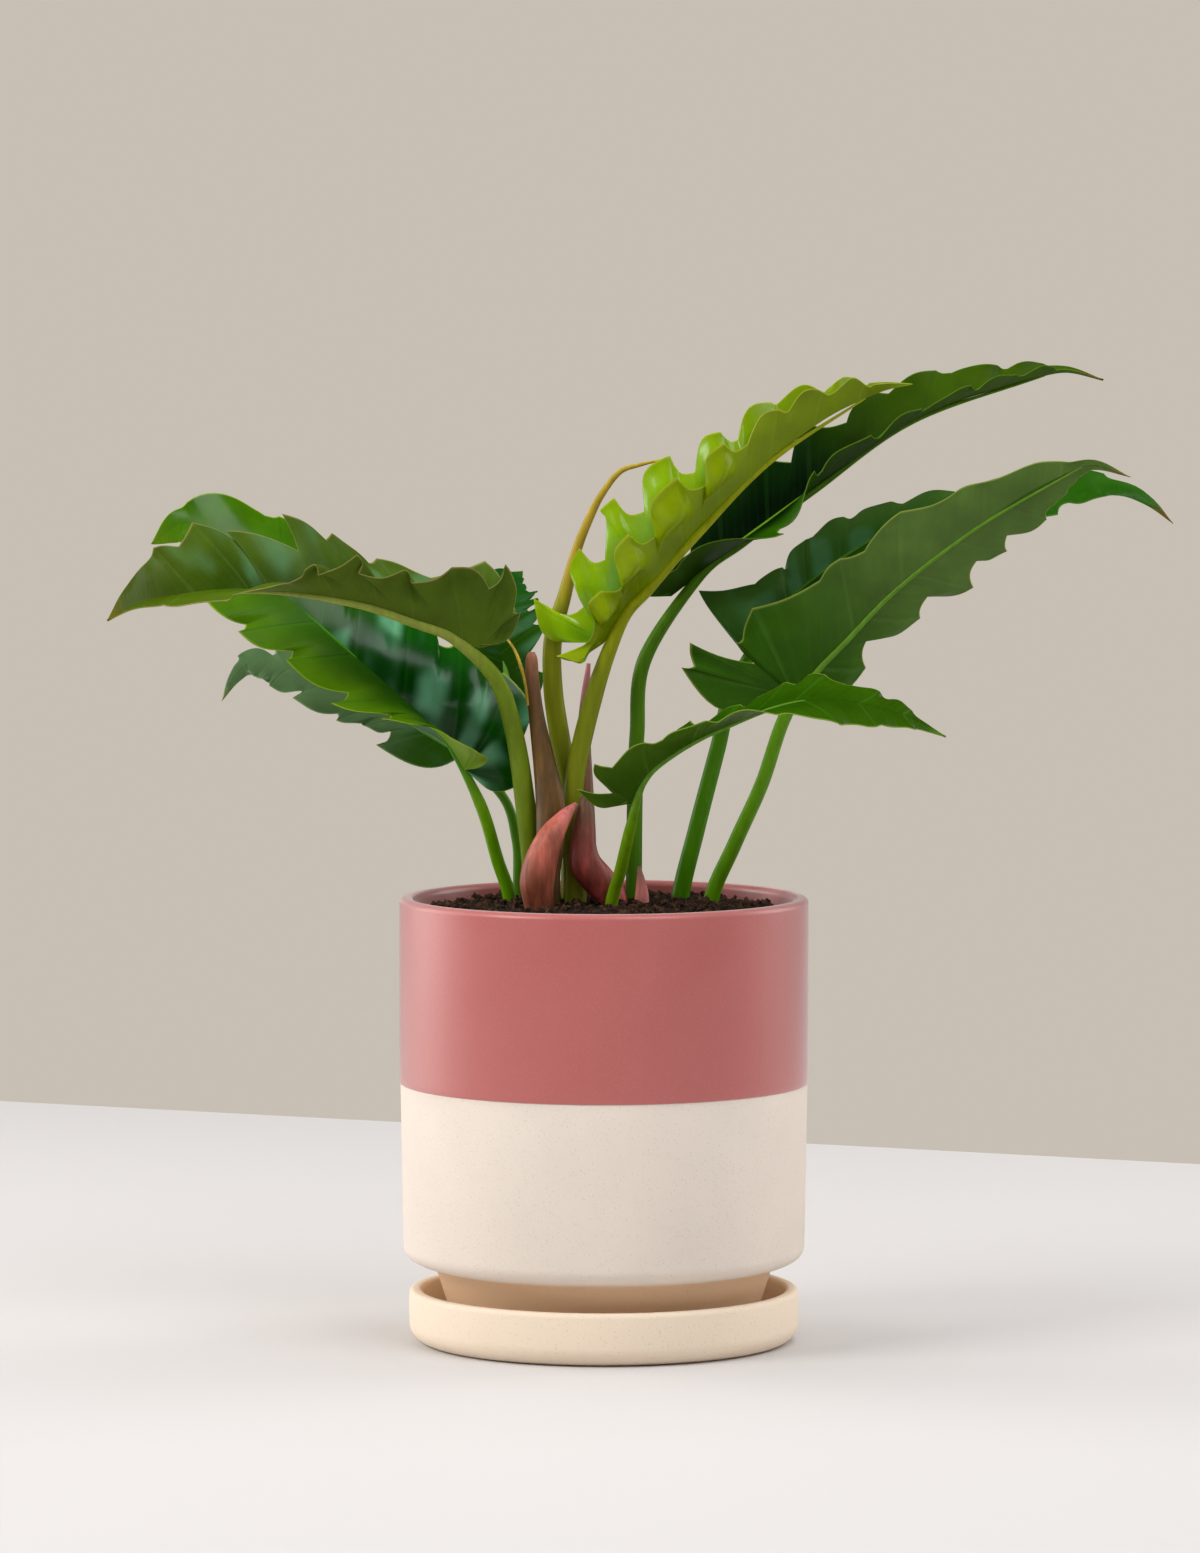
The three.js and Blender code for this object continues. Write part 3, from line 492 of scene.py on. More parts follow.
LEAVES = {
    "leaf_left_arching": {
        "stalk": [[-27.8, -2, 182], [-31.6, -8, 218], [-35.9, -15, 246.6], [-43.1, -26, 269.2]],
        "radius": [4.9, 3.3], "face": [[0, 0, 1]],
        "midrib": [[-49.8, -32, 281.9], [-64.8, -38, 289], [-88.9, -46, 298.5], [-108.5, -52, 303.1],
            [-129, -56, 305.7], [-147.9, -58, 306.6], [-166.9, -57, 304.5], [-183.7, -54, 300.8],
            [-196.4, -50, 293.9]],
        "left": {"puff": 3, "fold": [78, 62, 50, 42, 8, -15, -20, -20], "edge": [[0, 2], [-9, 20],
            [-6, 19], [7, 35], [9, 24], [27, 28], [39, 17], [44, 21], [59, 16], [62, 25], [74, 17],
            [80, 24], [84, 15], [104, 17], [108, 14], [130, 10], [132, 7]]},
        "right": {"bulge": 0.3, "fold": [72, 50, 45, 60, 68, 70, 70, 70], "wave": 1, "edge": [[0, 2],
            [-10, 22], [-3, 27], [6, 38], [24, 26], [46, 27], [49, 23], [66, 29], [68, 26], [86, 33],
            [79, 18], [106, 24], [102, 19], [118, 29], [124, 20], [134, 21], [137, 16]]},
    },
    "leaf_left_glossy": {
        "stalk": [[-38, 10, 176.8], [-43.2, 8, 194.7], [-49.9, 0, 217.5]],
        "radius": [2.9, 2.4], "rib": 1.0, "pillow": 0.5, "face": [[0.34, -0.85, 0.4]],
        "midrib": [[-55.8, -6, 231.6], [-65.8, -8, 246.2], [-89.9, -6, 268.2], [-108.1, -2, 283.7],
            [-128.3, 2, 301.2], [-152.5, 6, 320], [-168.7, 8, 329.9], [-182.2, 4, 322]],
        "left": {"fold": [100, 50, 18, 8, 6, 10, 10], "wave": 1.2, "edge": [[0, 2], [9, 19], [24, 17],
            [38, 28], [37, 18], [56, 29], [55, 18], [82, 24], [83, 18], [105, 28], [105, 22], [124, 26],
            [126, 20], [143, 18], [145, 13], [158, 8], [160, 6]]},
        "right": {"fold": [20, 14, 10, 10, 8, 8, 8], "curl": [0, -20, -30, -30, -30, -20],
            "edge": [[0, 2], [-18, 17], [-4, 26], [18, 38], [21, 33], [38, 38], [43, 31], [64, 37],
            [66, 29], [88, 34], [89, 27], [108, 36], [110, 31], [126, 31], [130, 26], [152, 9],
            [155, 6]]},
    },
    "leaf_left_low": {
        "stalk": [[-34.9, 28, 182], [-35.7, 30, 201], [-42.2, 28, 219.7]],
        "radius": [2.2, 1.9], "face": [[0.25, -0.55, 0.8]],
        "midrib": [[-58.4, 28, 235.1], [-82.7, 30, 249.2], [-107.1, 32, 261.3], [-127.4, 32, 269.5],
            [-143.4, 28, 272.5], [-150, 24, 267.4], [-154.9, 20, 257.5]],
        "left": {"fold": [5, 0, -5, -5], "curl": [-10], "wave": 1, "edge": [[0, 2], [31, 20], [29, 9],
            [39, 14], [41, 12], [51, 17], [52, 13], [73, 15], [70, 9], [87, 12], [87, 9], [93, 8],
            [94, 7], [99, 5], [100, 4]]},
        "right": {"fold": [20, 15, 10, 10], "curl": [-10], "wave": 1, "edge": [[0, 2], [-12, 17], [0, 20],
            [22, 24], [24, 20], [40, 22], [41, 17], [56, 18], [57, 13], [70, 14], [71, 10], [84, 9],
            [85, 6], [97, 5], [98, 3]]},
    },
    "leaf_rear": {
        "stalk": [[-33.4, 42, 181], [-32.5, 40, 217], [-34.1, 38, 239.4]],
        "radius": [2.5, 2.1], "face": [[0, -0.6, 0.8]],
        "midrib": [[-37.4, 40, 255.6], [-41.2, 54, 271.2], [-45.5, 72, 280.5], [-47.8, 94, 289.8],
            [-43.9, 116, 298.3], [-34.1, 132, 305.2]],
        "left": {"fold": [15, 10, 10], "wave": 1.2, "edge": [[0, 2], [-16, 13], [-4, 17], [14, 18],
            [16, 14], [34, 18], [36, 13], [54, 17], [56, 12], [72, 14], [74, 10], [90, 10], [92, 7],
            [104, 6], [105, 4]]},
        "right": {"fold": [15, 10, 10], "edge": [[0, 2], [10, 15], [22, 10], [42, 21], [46, 17], [60, 20],
            [64, 16], [76, 20], [79, 15], [90, 17], [93, 11], [98, 8], [100, 6], [104, 4], [105, 3]]},
    },
    "leaf_front_young": {
        "stalk": [[-11.5, -8, 184], [-12.6, -8, 221], [-4.4, -10, 260.4]],
        "radius": [4.8, 3.7], "rib": 2.6, "face": [[-0.62, 0, 0.78]],
        "midrib": [[-0.4, -12, 283], [12.8, -18, 301.3], [22.8, -22, 310.6], [32.7, -24, 322.7],
            [45.9, -26, 337.9], [59, -26, 349.9], [70.2, -24, 360.2], [87.8, -20, 372.9],
            [102.3, -16, 380.3], [112.3, -14, 384.3], [123.2, -12, 386.7]],
        "right": {"bulge": 1.5, "fold": [48, 48, 48, 48, 48, 50], "hook": 0.04, "puff": -8,
            "edge": [[0, 2], [-13, 15], [8, 11], [20, 17], [28, 9], [45, 28], [50, 16], [72, 28],
            [78, 14], [91, 25], [98, 15], [114, 18], [118, 16], [132, 12], [135, 10], [149, 6],
            [152, 5]]},
        "left": {"bulge": 1.4, "fold": [72, 76, 76, 76, 76, 74], "hook": 0.04, "puff": 2.5,
            "edge": [[0, 2], [-6, 35], [9, 15], [22, 31], [25, 20], [49, 35], [52, 22], [74, 29],
            [76, 17], [95, 22], [98, 15], [116, 18], [119, 16], [133, 11], [136, 10], [149, 6],
            [152, 5]]},
    },
    "leaf_right_upper": {
        "stalk": [[12.1, 12, 182], [12.5, 14, 218.6], [13.4, 16, 244.8], [16.6, 18, 275]],
        "radius": [3.4, 2.9], "pillow": 0.3, "face": [[-0.55, 0, 0.83]],
        "midrib": [[27.1, 22, 300.3], [50.7, 30, 318.2], [69.4, 36, 331.8], [89.4, 42, 345.8],
            [109.4, 47, 359.9], [126.6, 51, 370.8], [145.5, 54, 378.9], [164.3, 57, 384.5],
            [177, 59, 388.1], [189.8, 61, 390.1], [204.5, 62, 386.8]],
        "right": {"fold": [50, 10, -15, 20, 12, 10, 15, 20, 20], "edge": [[0, 2], [-8, 18], [6, 13],
            [47, 26], [50, 15], [74, 22], [79, 14], [103, 20], [106, 15], [127, 17], [131, 12], [150, 13],
            [153, 10], [170, 9], [173, 7], [186, 5], [189, 4]]},
        "left": {"bulge": 0.5, "fold": [50, 50, 50, 50, 50, 55, 60, 60], "edge": [[0, 2], [-6, 20],
            [19, 11], [47, 28], [52, 22], [70, 27], [76, 18], [92, 28], [104, 18], [120, 24], [124, 19],
            [143, 18], [148, 14], [166, 10], [170, 8], [184, 5], [187, 4]]},
    },
    "leaf_right_light": {
        "stalk": [[43.2, 10, 177], [52.9, 8, 200.8], [63.6, 2, 225.4], [72.7, -6, 252.9]],
        "radius": [3.3, 2.7], "rib": 1.3, "pillow": -1.0, "face": [[-0.27, 0.89, 0.36]],
        "midrib": [[75.8, -8, 261.5], [86.2, -10, 272.4], [103.7, -13, 291], [123.6, -16, 310.8],
            [143.9, -18, 325.7], [164.2, -20, 340.5], [177.7, -21, 348.1], [193.9, -22, 354.6],
            [210, -20, 349.7]],
        "right": {"bulge": 0.35, "fold": [10, 10, 8, 8], "wave": 1, "edge": [[0, 2], [-21, 42], [-17, 39],
            [-11, 47], [0, 21], [1, 33], [4, 32], [16, 38], [42, 26], [54, 26], [62, 21], [80, 24],
            [100, 18], [114, 14], [124, 11], [143, 5], [148, 3]]},
        "left": {"puff": -1.5, "fold": [10, 10, 8, 8], "wave": 1.2, "edge": [[0, 2], [27, 17], [38, 7],
            [57, 20], [67, 13], [85, 24], [93, 13], [104, 19], [108, 12], [126, 17], [131, 11], [139, 9],
            [141, 7], [146, 5], [148, 4], [152, 3], [154, 2]]},
    },
    "leaf_right_dark": {
        "stalk": [[30.8, 22, 176], [37.7, 22, 205.9], [46.1, 20, 238.5], [52.2, 19, 262.8]],
        "radius": [3.9, 3], "face": [[-0.35, -0.35, 0.87]],
        "midrib": [[57.4, 18, 277.1], [71.2, 24, 294.2], [91.6, 32, 310.9], [120.3, 40, 327.6],
            [153, 46, 338], [185.6, 48, 344.4], [209.8, 44, 343.7], [221.8, 40, 338.2], [231.3, 36, 329]],
        "left": {"back": 0.1, "bulge": 0.45, "fold": [50, 36, 22, 18, 18, 20], "curl": [-15],
            "edge": [[0, 2], [12, 33], [25, 16], [37, 13], [38, 13], [52, 19], [55, 19], [70, 20],
            [74, 18], [88, 16], [92, 14], [112, 10], [115, 9], [136, 9], [140, 7], [170, 6], [174, 4]]},
        "right": {"fold": [20, 15, 10, 0, -10, -10], "curl": [-10], "edge": [[0, 2], [-2, 5], [8, 6],
            [20, 12], [24, 9], [40, 22], [46, 16], [64, 22], [68, 16], [88, 20], [92, 14], [112, 18],
            [116, 13], [150, 21], [157, 12], [172, 8], [176, 5]]},
    },
    "leaf_low_front": {
        "stalk": [[2.6, -19.6, 176], [6.9, -27.4, 194], [10.4, -38, 210.1]],
        "radius": [2.8, 2.3], "rib": 1.2, "face": [[-0.5, 0, 0.87], [-0.3, 0, 0.95], [0, 0, 1],
            [0.2, 0, 1]],
        "midrib": [[11.2, -45, 221.3], [16.2, -52, 230.9], [26.9, -58, 241.6], [41.9, -63, 250.2],
            [61.6, -66, 258.3], [81.3, -66, 263.4], [97.2, -64, 262.5], [117.1, -60, 257.2],
            [135.1, -54, 248.1]],
        "right": {"bulge": 0.4, "fold": [60, 40, 25, 12, -15, -38, -38, -30], "wave": 1, "edge": [[0, 2],
            [-4, 22], [2, 9], [12, 23], [13, 16], [28, 17], [33, 13], [50, 15], [54, 13], [74, 19],
            [79, 16], [98, 17], [102, 14], [116, 11], [119, 9], [132, 6], [134, 4]]},
        "left": {"bulge": 0.4, "fold": [40, 22, 14, 14, 22, 28, 25], "wave": 1, "edge": [[0, 2], [-6, 14],
            [8, 10], [20, 14], [27, 11], [35, 24], [41, 14], [60, 20], [64, 17], [82, 24], [86, 21],
            [98, 23], [105, 14], [118, 12], [122, 10], [132, 7], [134, 5]]},
    },
}

SHEATHS = {
    "sheath_brown": {
        "path": [[-22.6, -11.4, 180], [-22.4, -12, 192], [-21.4, -13, 204], [-21.4, -13, 218],
            [-23.4, -13, 232], [-26.9, -12.5, 253], [-28.6, -12, 268], [-29, -12, 276.4],
            [-29, -12, 279.4]],
        "radius": [5, 5.1, 5.8, 6, 4.8, 3.2, 2.7, 2.4, 1.3], "faces": [0.25, 1, 0],
        "thread": [[-30.2, -13.2, 258], [-31.2, -12.6, 266], [-33.2, -10, 273], [-36, -6, 280],
            [-40.6, 0, 286]],
    },
    "sheath_pink_front": {
        "path": [[-26, -24, 178.2], [-26.6, -26, 190], [-22.4, -26, 204], [-16.6, -22.5, 213],
            [-11.2, -19, 219]],
        "radius": [6, 7, 5.6, 3.4, 0.9], "faces": [0.3, 1, 0.2],
    },
    "sheath_red_curled": {
        "path": [[4, -10.5, 174], [3, -12, 181], [-2, -14.5, 187.5], [-7, -16, 194], [-8.3, -16.5, 202],
            [-7.8, -16, 212], [-7.3, -15.5, 221.5]],
        "radius": [4.9, 6, 6.7, 6.5, 5.2, 4.2, 2.2], "faces": [-0.2, 1, 0],
    },
    "sheath_pink_thin": {
        "path": [[-8.6, 21, 180], [-8.6, 21, 201], [-8.4, 20, 218], [-8.3, 20, 242], [-7.4, 20, 260],
            [-6.2, 20, 273]],
        "radius": [5.6, 5.4, 4.4, 2.9, 1.9, 0.8], "faces": [-0.1, 1, 0],
    },
    "sheath_pink_small": {
        "path": [[15, -10, 174], [15.2, -10, 183], [14.2, -10, 193]],
        "radius": [3.2, 2.6, 0.6], "faces": [0.4, 1, 0],
    },
}

SPEAR = {
    "path": [[-12.5, 8, 182], [-13.3, 6, 219.1], [-17.7, 4, 243.5], [-20.5, 3, 263.7], [-20.5, 3, 283.8],
        [-15.7, 3, 302], [-10.8, 3, 320.1], [-5.6, 2, 333], [-0.8, 1, 342.2], [6.4, 0, 351.1],
        [14.5, -1, 354], [23.3, -2, 356]],
    "radius": [4.9, 4.4, 4.1, 3.9, 3.7, 2.8, 2, 1.7, 1.4, 1.1, 0.8, 0.4],
}


# Leaves

def edge_places(half, length, s):
    """Places [along, out] on a half's edge at stations s, the swell there and the teeth passed."""
    edge = np.array(half["edge"], float)
    teeth = (len(edge) - 1) // 2
    place = np.minimum(s / LAST_NOTCH, 1) * teeth
    i = np.minimum((place + TINY).astype(int), teeth - 1)
    p = np.clip(place - i, 0, 1)
    rising = p <= TOOTH_SHARE + TINY
    start = np.where(rising[:, None], edge[2 * i], edge[2 * i + 1])
    stop = np.where(rising[:, None], edge[2 * i + 1], edge[2 * i + 2])
    q = np.where(rising, p / TOOTH_SHARE, (p - TOOTH_SHARE) / (1 - TOOTH_SHARE))
    bulge = np.where(rising, TOOTH_BULGE, -NOTCH_BULGE) * half.get("bulge", 1)
    bulge = np.where(rising & (i == 0), BACK_BULGE * half.get("back", 1), bulge)
    bow = bulge * np.sin(np.pi * q)
    bow = bow + half.get("hook", 0) * np.where(rising, -1, 1) * np.sin(2 * np.pi * q)
    step = stop - start
    at = start + step * q[:, None] + np.stack([-step[:, 1], step[:, 0]], 1) * bow[:, None]
    at[:, 1] = np.maximum(at[:, 1], LEAST_OUT)
    lift = np.sin(np.pi * np.clip(p / SWELL_END, 0, 1)) - SWELL_LOW
    q = (np.clip(s, LAST_NOTCH, 1) - LAST_NOTCH) / (1 - LAST_NOTCH)
    past = s > LAST_NOTCH
    tip = edge[-1] * (1 - q[:, None]) + np.array([length, 0.0]) * q[:, None]
    lift = np.where(past, -SWELL_LOW * (1 - q), lift)
    return np.where(past[:, None], tip, at), lift, place + np.where(past, q, 0)


def vein_roots(half, length, s):
    """Where on the midrib the vein to each place of the edge starts: nearer the stalk, as veins lean."""
    tips = np.array(half["edge"][1::2], float)
    roots = np.maximum.accumulate(np.maximum(tips[:, 0] - LEAN * tips[:, 1], 0))
    at = LAST_NOTCH * (np.arange(len(tips)) + TOOTH_SHARE) / len(tips)
    return np.interp(s, [0, *at, 1], [0, *roots, length])


class Rail:
    """A leaf's midrib: places on it are distances from the stalk, and both ends run on straight."""
    STEPS = 24

    def __init__(self, leaf):
        u = np.linspace(0, 1, self.STEPS * (len(leaf["midrib"]) - 1) + 1)
        self.points, self.ahead = smooth(leaf["midrib"], u)
        self.at = passed(self.points)
        self.length = self.at[-1]
        self.face = leaf["face"]

    def axes(self, distance):
        """Point, up and right at distances, and the share of the midrib passed."""
        d = np.clip(distance, 0, self.length)

        def blend(values):
            return np.stack([np.interp(d, self.at, values[:, k]) for k in range(3)], -1)
        ahead = unit(blend(self.ahead))
        point = blend(self.points) + ahead * (distance - d)[..., None]
        reach = d / self.length
        face, _ = smooth(self.face, reach)
        up = unit(face - ahead * np.sum(face * ahead, -1, keepdims=True))
        return point, up, np.cross(ahead, up), reach


def half_sheet(leaf, rail, key):
    """Points, face directions, texture places and reach of a half blade, in rows out from the midrib."""
    half = leaf[key]
    side = 1 if key == "right" else -1
    teeth = (len(half["edge"]) - 1) // 2
    rise = int(TOOTH_STEPS * TOOTH_SHARE)
    tooth = np.concatenate([
        np.linspace(0, TOOTH_SHARE, rise, endpoint=False),
        np.linspace(TOOTH_SHARE, 1, TOOTH_STEPS - rise, endpoint=False),
    ])
    s = np.concatenate([LAST_NOTCH * (i + tooth) / teeth for i in range(teeth)])
    s = np.concatenate([s, np.linspace(LAST_NOTCH, 1, TOOTH_STEPS // 2)])
    edge, lift, lane = edge_places(half, rail.length, s)
    edge_along, edge_out = edge[:, :1], edge[:, 1:]
    rib = vein_roots(half, rail.length, s)
    share = np.linspace(0, 1, ACROSS_STEPS + 1)
    along = rib[:, None] * (1 - share) + edge_along * share
    out = edge_out * share
    wave = half.get("wave", WAVE) * lift[:, None] * share ** 2
    pillow = leaf.get("pillow", PILLOW) * np.abs(np.sin(np.pi * (lane - TOOTH_SHARE)))
    fade = np.clip(out / PILLOW_RISE, 0, 1) * (1 - share ** 3)
    fade = fade * ease(edge_out, *PILLOW_OUT) * ease(edge_along, *PILLOW_ALONG)
    wave = wave + pillow[:, None] * fade
    puffed = np.cos(np.pi * np.clip(lane - np.floor(lane) - PUFF_AT, -0.5, 0.5)) ** 2
    swell = np.exp(-((share - PUFF_OUT) / PUFF_WIDTH) ** 2)
    swell = swell * ease(edge_out, *PUFF_GROWS) * (1 - ease(edge_along, *PUFF_ENDS))
    wave = wave + half.get("puff", 0) * puffed[:, None] * swell
    ruffle = RUFFLE * np.sin(2 * np.pi * (lane * RUFFLE_TURNS + RUFFLE_SHIFT * side))
    wave = wave + ruffle[:, None] * share ** 3 * ease(edge_out, *RUFFLE_GROWS)
    point, up, right, reach = rail.axes(along)
    fold = np.radians(smooth(half["fold"], reach)[0][..., 0])
    curl = np.radians(smooth(half.get("curl", [0]), reach)[0][..., 0]) / CURL_WIDTH
    curl = np.where(np.abs(curl) < LEAST_CURL, LEAST_CURL, curl)
    bent = fold + curl * out
    across = (np.sin(bent) - np.sin(fold)) / curl
    raised = (np.cos(fold) - np.cos(bent)) / curl
    normal = up * np.cos(bent)[..., None] - side * right * np.sin(bent)[..., None]
    place = point + right * (side * across)[..., None] + up * raised[..., None] + normal * wave[..., None]
    uv = np.stack(np.broadcast_arrays(lane[:, None], share), -1)
    return place, normal, uv, reach, share


def make_blade(name, leaf, rail, material):
    """The blade as one closed sheet: both faces, and a round edge between them."""
    shape = Shape()
    for key in ("left", "right"):
        place, normal, uv, reach, share = half_sheet(leaf, rail, key)
        flip = key == "left"
        side = 1.0 if key == "right" else 0.0
        thick = (RIB_THICK + (MARGIN_THICK - RIB_THICK) * share ** 0.5)[None, :, None] / 2
        upper, lower = place + normal * thick, place - normal * thick
        shape.grid(upper, uv, flip, side=side, reach=reach, under=0)
        shape.grid(lower, uv, not flip, side=side, reach=reach, under=1)
        outward = unit(place[:, -1] - place[:, -2]) * MARGIN_THICK / 2
        rim = np.stack([upper[:, -1], place[:, -1] + outward, lower[:, -1]], 1)
        shape.grid(rim, np.stack([uv[:, -1]] * 3, 1), flip, side=side, reach=reach[:, -1:], under=0.5)
        heel = np.stack([upper[0], lower[0]])
        shape.grid(heel, np.stack([uv[0]] * 2), not flip, side=side, reach=0, under=0.5)
    return shape.build(name, material)


def rooted(points):
    """A stem's places with its root end added, straight down below the soil."""
    x, y, z = points[0]
    return [(x, y, z - ROOTED), *points]


def make_stalk(name, leaf, rail, material):
    """The stalk from under the soil, running on as the midrib under the blade."""
    knots = rooted(leaf["stalk"])
    radii = list(np.linspace(*leaf["radius"], len(knots)))
    thick = leaf.get("rib", min(RIB_RADIUS, leaf["radius"][1] * RIB_STEP))
    for t in RIB_PLACES:
        point, up, _, _ = rail.axes(np.array(t * rail.length))
        radius = thick + (RIB_END - thick) * t / RIB_PLACES[-1]
        knots.append(point - up * radius * RIB_SUNK)
        radii.append(radius)
    shape = Shape()
    tube(shape, knots, radii, STALK_STEPS * (len(knots) - 1), STALK_SIDES)
    return shape.build(name, material)


# What each leaf looks like: colours of the upper side's two halves and of the underside, each from the
# midrib out, the colour they turn to towards the tip and the shares of the midrib where they turn, the
# margin, the tip itself, the veins, and the stalk from the soil up to the blade and on as midrib; rough,
# coat and painted sheen (pale bands of painted highlight between the veins) have the left and the
# right half's value
LOOKS = {
    "leaf_left_arching": {
        "left": ((68, 94, 12), (74, 98, 18)), "right": ((50, 76, 4), (70, 96, 22)),
        "under": ((76, 98, 20), (74, 96, 24)), "far": (62, 78, 0), "turn": (0.6, 1.0),
        "margin": (150, 142, 80), "tip": (104, 92, 0), "vein": (96, 120, 50), "rough": (0.42, 0.4),
        "coat": (0.04, 0.04), "painted_sheen": (0.0, 0.4),
        "stalk": ((112, 136, 20), (108, 132, 30), (134, 146, 60)),
    },
    "leaf_left_glossy": {
        "left": ((32, 74, 0), (82, 126, 0)), "right": ((2, 54, 2), (12, 74, 4)),
        "under": ((104, 140, 30), (116, 146, 44)), "far": (68, 112, 0), "turn": (0.3, 0.85),
        "margin": (150, 176, 40), "tip": (90, 120, 10), "vein": (30, 110, 10), "rough": (0.5, 0.26),
        "coat": (0.06, 0.4), "painted_sheen": (0.0, 1.3), "stalk": ((96, 152, 0), (104, 156, 10), (60, 130, 10)),
    },
    "leaf_left_low": {
        "left": ((36, 76, 4), (44, 84, 8)), "right": ((40, 86, 30), (66, 104, 50)),
        "under": ((100, 134, 80), (100, 134, 80)), "far": (98, 128, 88), "turn": (0.12, 0.32),
        "margin": (140, 160, 110), "tip": (140, 150, 80), "vein": (80, 124, 70), "rough": (0.36, 0.36),
        "coat": (0.2, 0.3), "painted_sheen": (0.3, 0.3), "stalk": ((80, 132, 14), (80, 132, 30), (96, 140, 70)),
    },
    "leaf_rear": {
        "left": ((16, 44, 0), (24, 56, 4)), "right": ((20, 48, 0), (30, 62, 6)),
        "under": ((46, 96, 30), (46, 96, 30)), "far": (24, 76, 20), "turn": (0.3, 0.85),
        "margin": (50, 100, 36), "tip": (50, 90, 20), "vein": (46, 96, 30), "rough": (0.3, 0.3),
        "coat": (0.1, 0.1), "painted_sheen": (0.2, 0.25), "stalk": ((70, 120, 10), (60, 110, 14), (80, 120, 40)),
    },
    "leaf_front_young": {
        "left": ((94, 144, 0), (134, 172, 0)), "right": ((108, 136, 0), (138, 158, 0)),
        "under": ((108, 130, 0), (128, 150, 0)), "far": (104, 124, 0), "turn": (0.3, 0.85),
        "margin": (166, 176, 50), "tip": (140, 160, 40), "vein": (140, 160, 30), "rough": (0.24, 0.28),
        "coat": (0.45, 0.3), "painted_sheen": (0.2, 0.0),
        "stalk": ((118, 124, 24), (124, 134, 24), (140, 148, 10)),
    },
    "leaf_right_upper": {
        "left": ((0, 14, 0), (4, 30, 0)), "right": ((4, 22, 0), (36, 80, 0)),
        "under": ((36, 68, 0), (50, 84, 4)), "far": (62, 92, 0), "turn": (0.35, 0.8),
        "margin": (96, 130, 30), "tip": (104, 78, 26), "vein": (24, 70, 4), "rough": (0.42, 0.42),
        "coat": (0.02, 0.04), "painted_sheen": (0.0, 0.0), "stalk": ((74, 120, 12), (72, 114, 14), (84, 126, 20)),
    },
    "leaf_right_light": {
        "left": ((36, 76, 0), (40, 82, 2)), "right": ((40, 82, 2), (46, 88, 6)),
        "under": ((38, 76, 0), (46, 88, 4)), "far": (86, 112, 52), "turn": (0.04, 0.5),
        "margin": (140, 150, 60), "tip": (140, 110, 70), "vein": (96, 136, 60), "rough": (0.42, 0.42),
        "coat": (0.1, 0.1), "painted_sheen": (0.0, 0.0), "stalk": ((86, 138, 4), (88, 138, 12), (88, 130, 30)),
    },
    "leaf_right_dark": {
        "left": ((38, 74, 18), (60, 94, 34)), "right": ((22, 56, 8), (38, 78, 14)),
        "under": ((60, 100, 30), (70, 110, 40)), "far": (36, 88, 4), "turn": (0.5, 0.75),
        "margin": (80, 120, 50), "tip": (120, 76, 40), "vein": (50, 96, 44), "rough": (0.34, 0.3),
        "coat": (0.1, 0.1), "painted_sheen": (0.25, 0.0), "stalk": ((70, 126, 0), (72, 130, 6), (62, 106, 28)),
    },
    "leaf_low_front": {
        "left": ((28, 70, 0), (40, 80, 0)), "right": ((26, 66, 0), (46, 86, 0)),
        "under": ((50, 82, 10), (64, 96, 20)), "far": (46, 80, 0), "turn": (0.3, 0.85),
        "margin": (140, 164, 60), "tip": (90, 130, 0), "vein": (80, 134, 36), "rough": (0.34, 0.34),
        "coat": (0.15, 0.12), "painted_sheen": (0.0, 0.0),
        "stalk": ((114, 152, 6), (104, 148, 14), (90, 134, 40)),
    },
}
# The painted sheen's colour: a pale green-white highlight painted onto the blade between the veins
PAINTED_SHEEN_COLOR = srgb(118, 190, 148)
LEAF_SPECULAR = 0.05
VEIN_WIDTH = 0.045
FINE_VEINS = 6

# How much of each colour is laid over the blade
PAINTED_SHEEN_SHARE = 0.45
FAR_SHARE = 0.8
VEIN_SHARE = 0.14
FINE_VEIN_SHARE = 0.04
MARGIN_SHARE = 0.6
TIP_SHARE = 0.8

# Where each look comes in: from midrib to edge, from a vein to the next, or from stalk to tip
OUTWARD = (0.1, 0.95)
MARGIN = (0.972, 0.998)
BETWEEN_VEINS = (0.1, 0.36)
FINE_VEIN = (0.02, 0.2)
TIP = (0.93, 1.0)


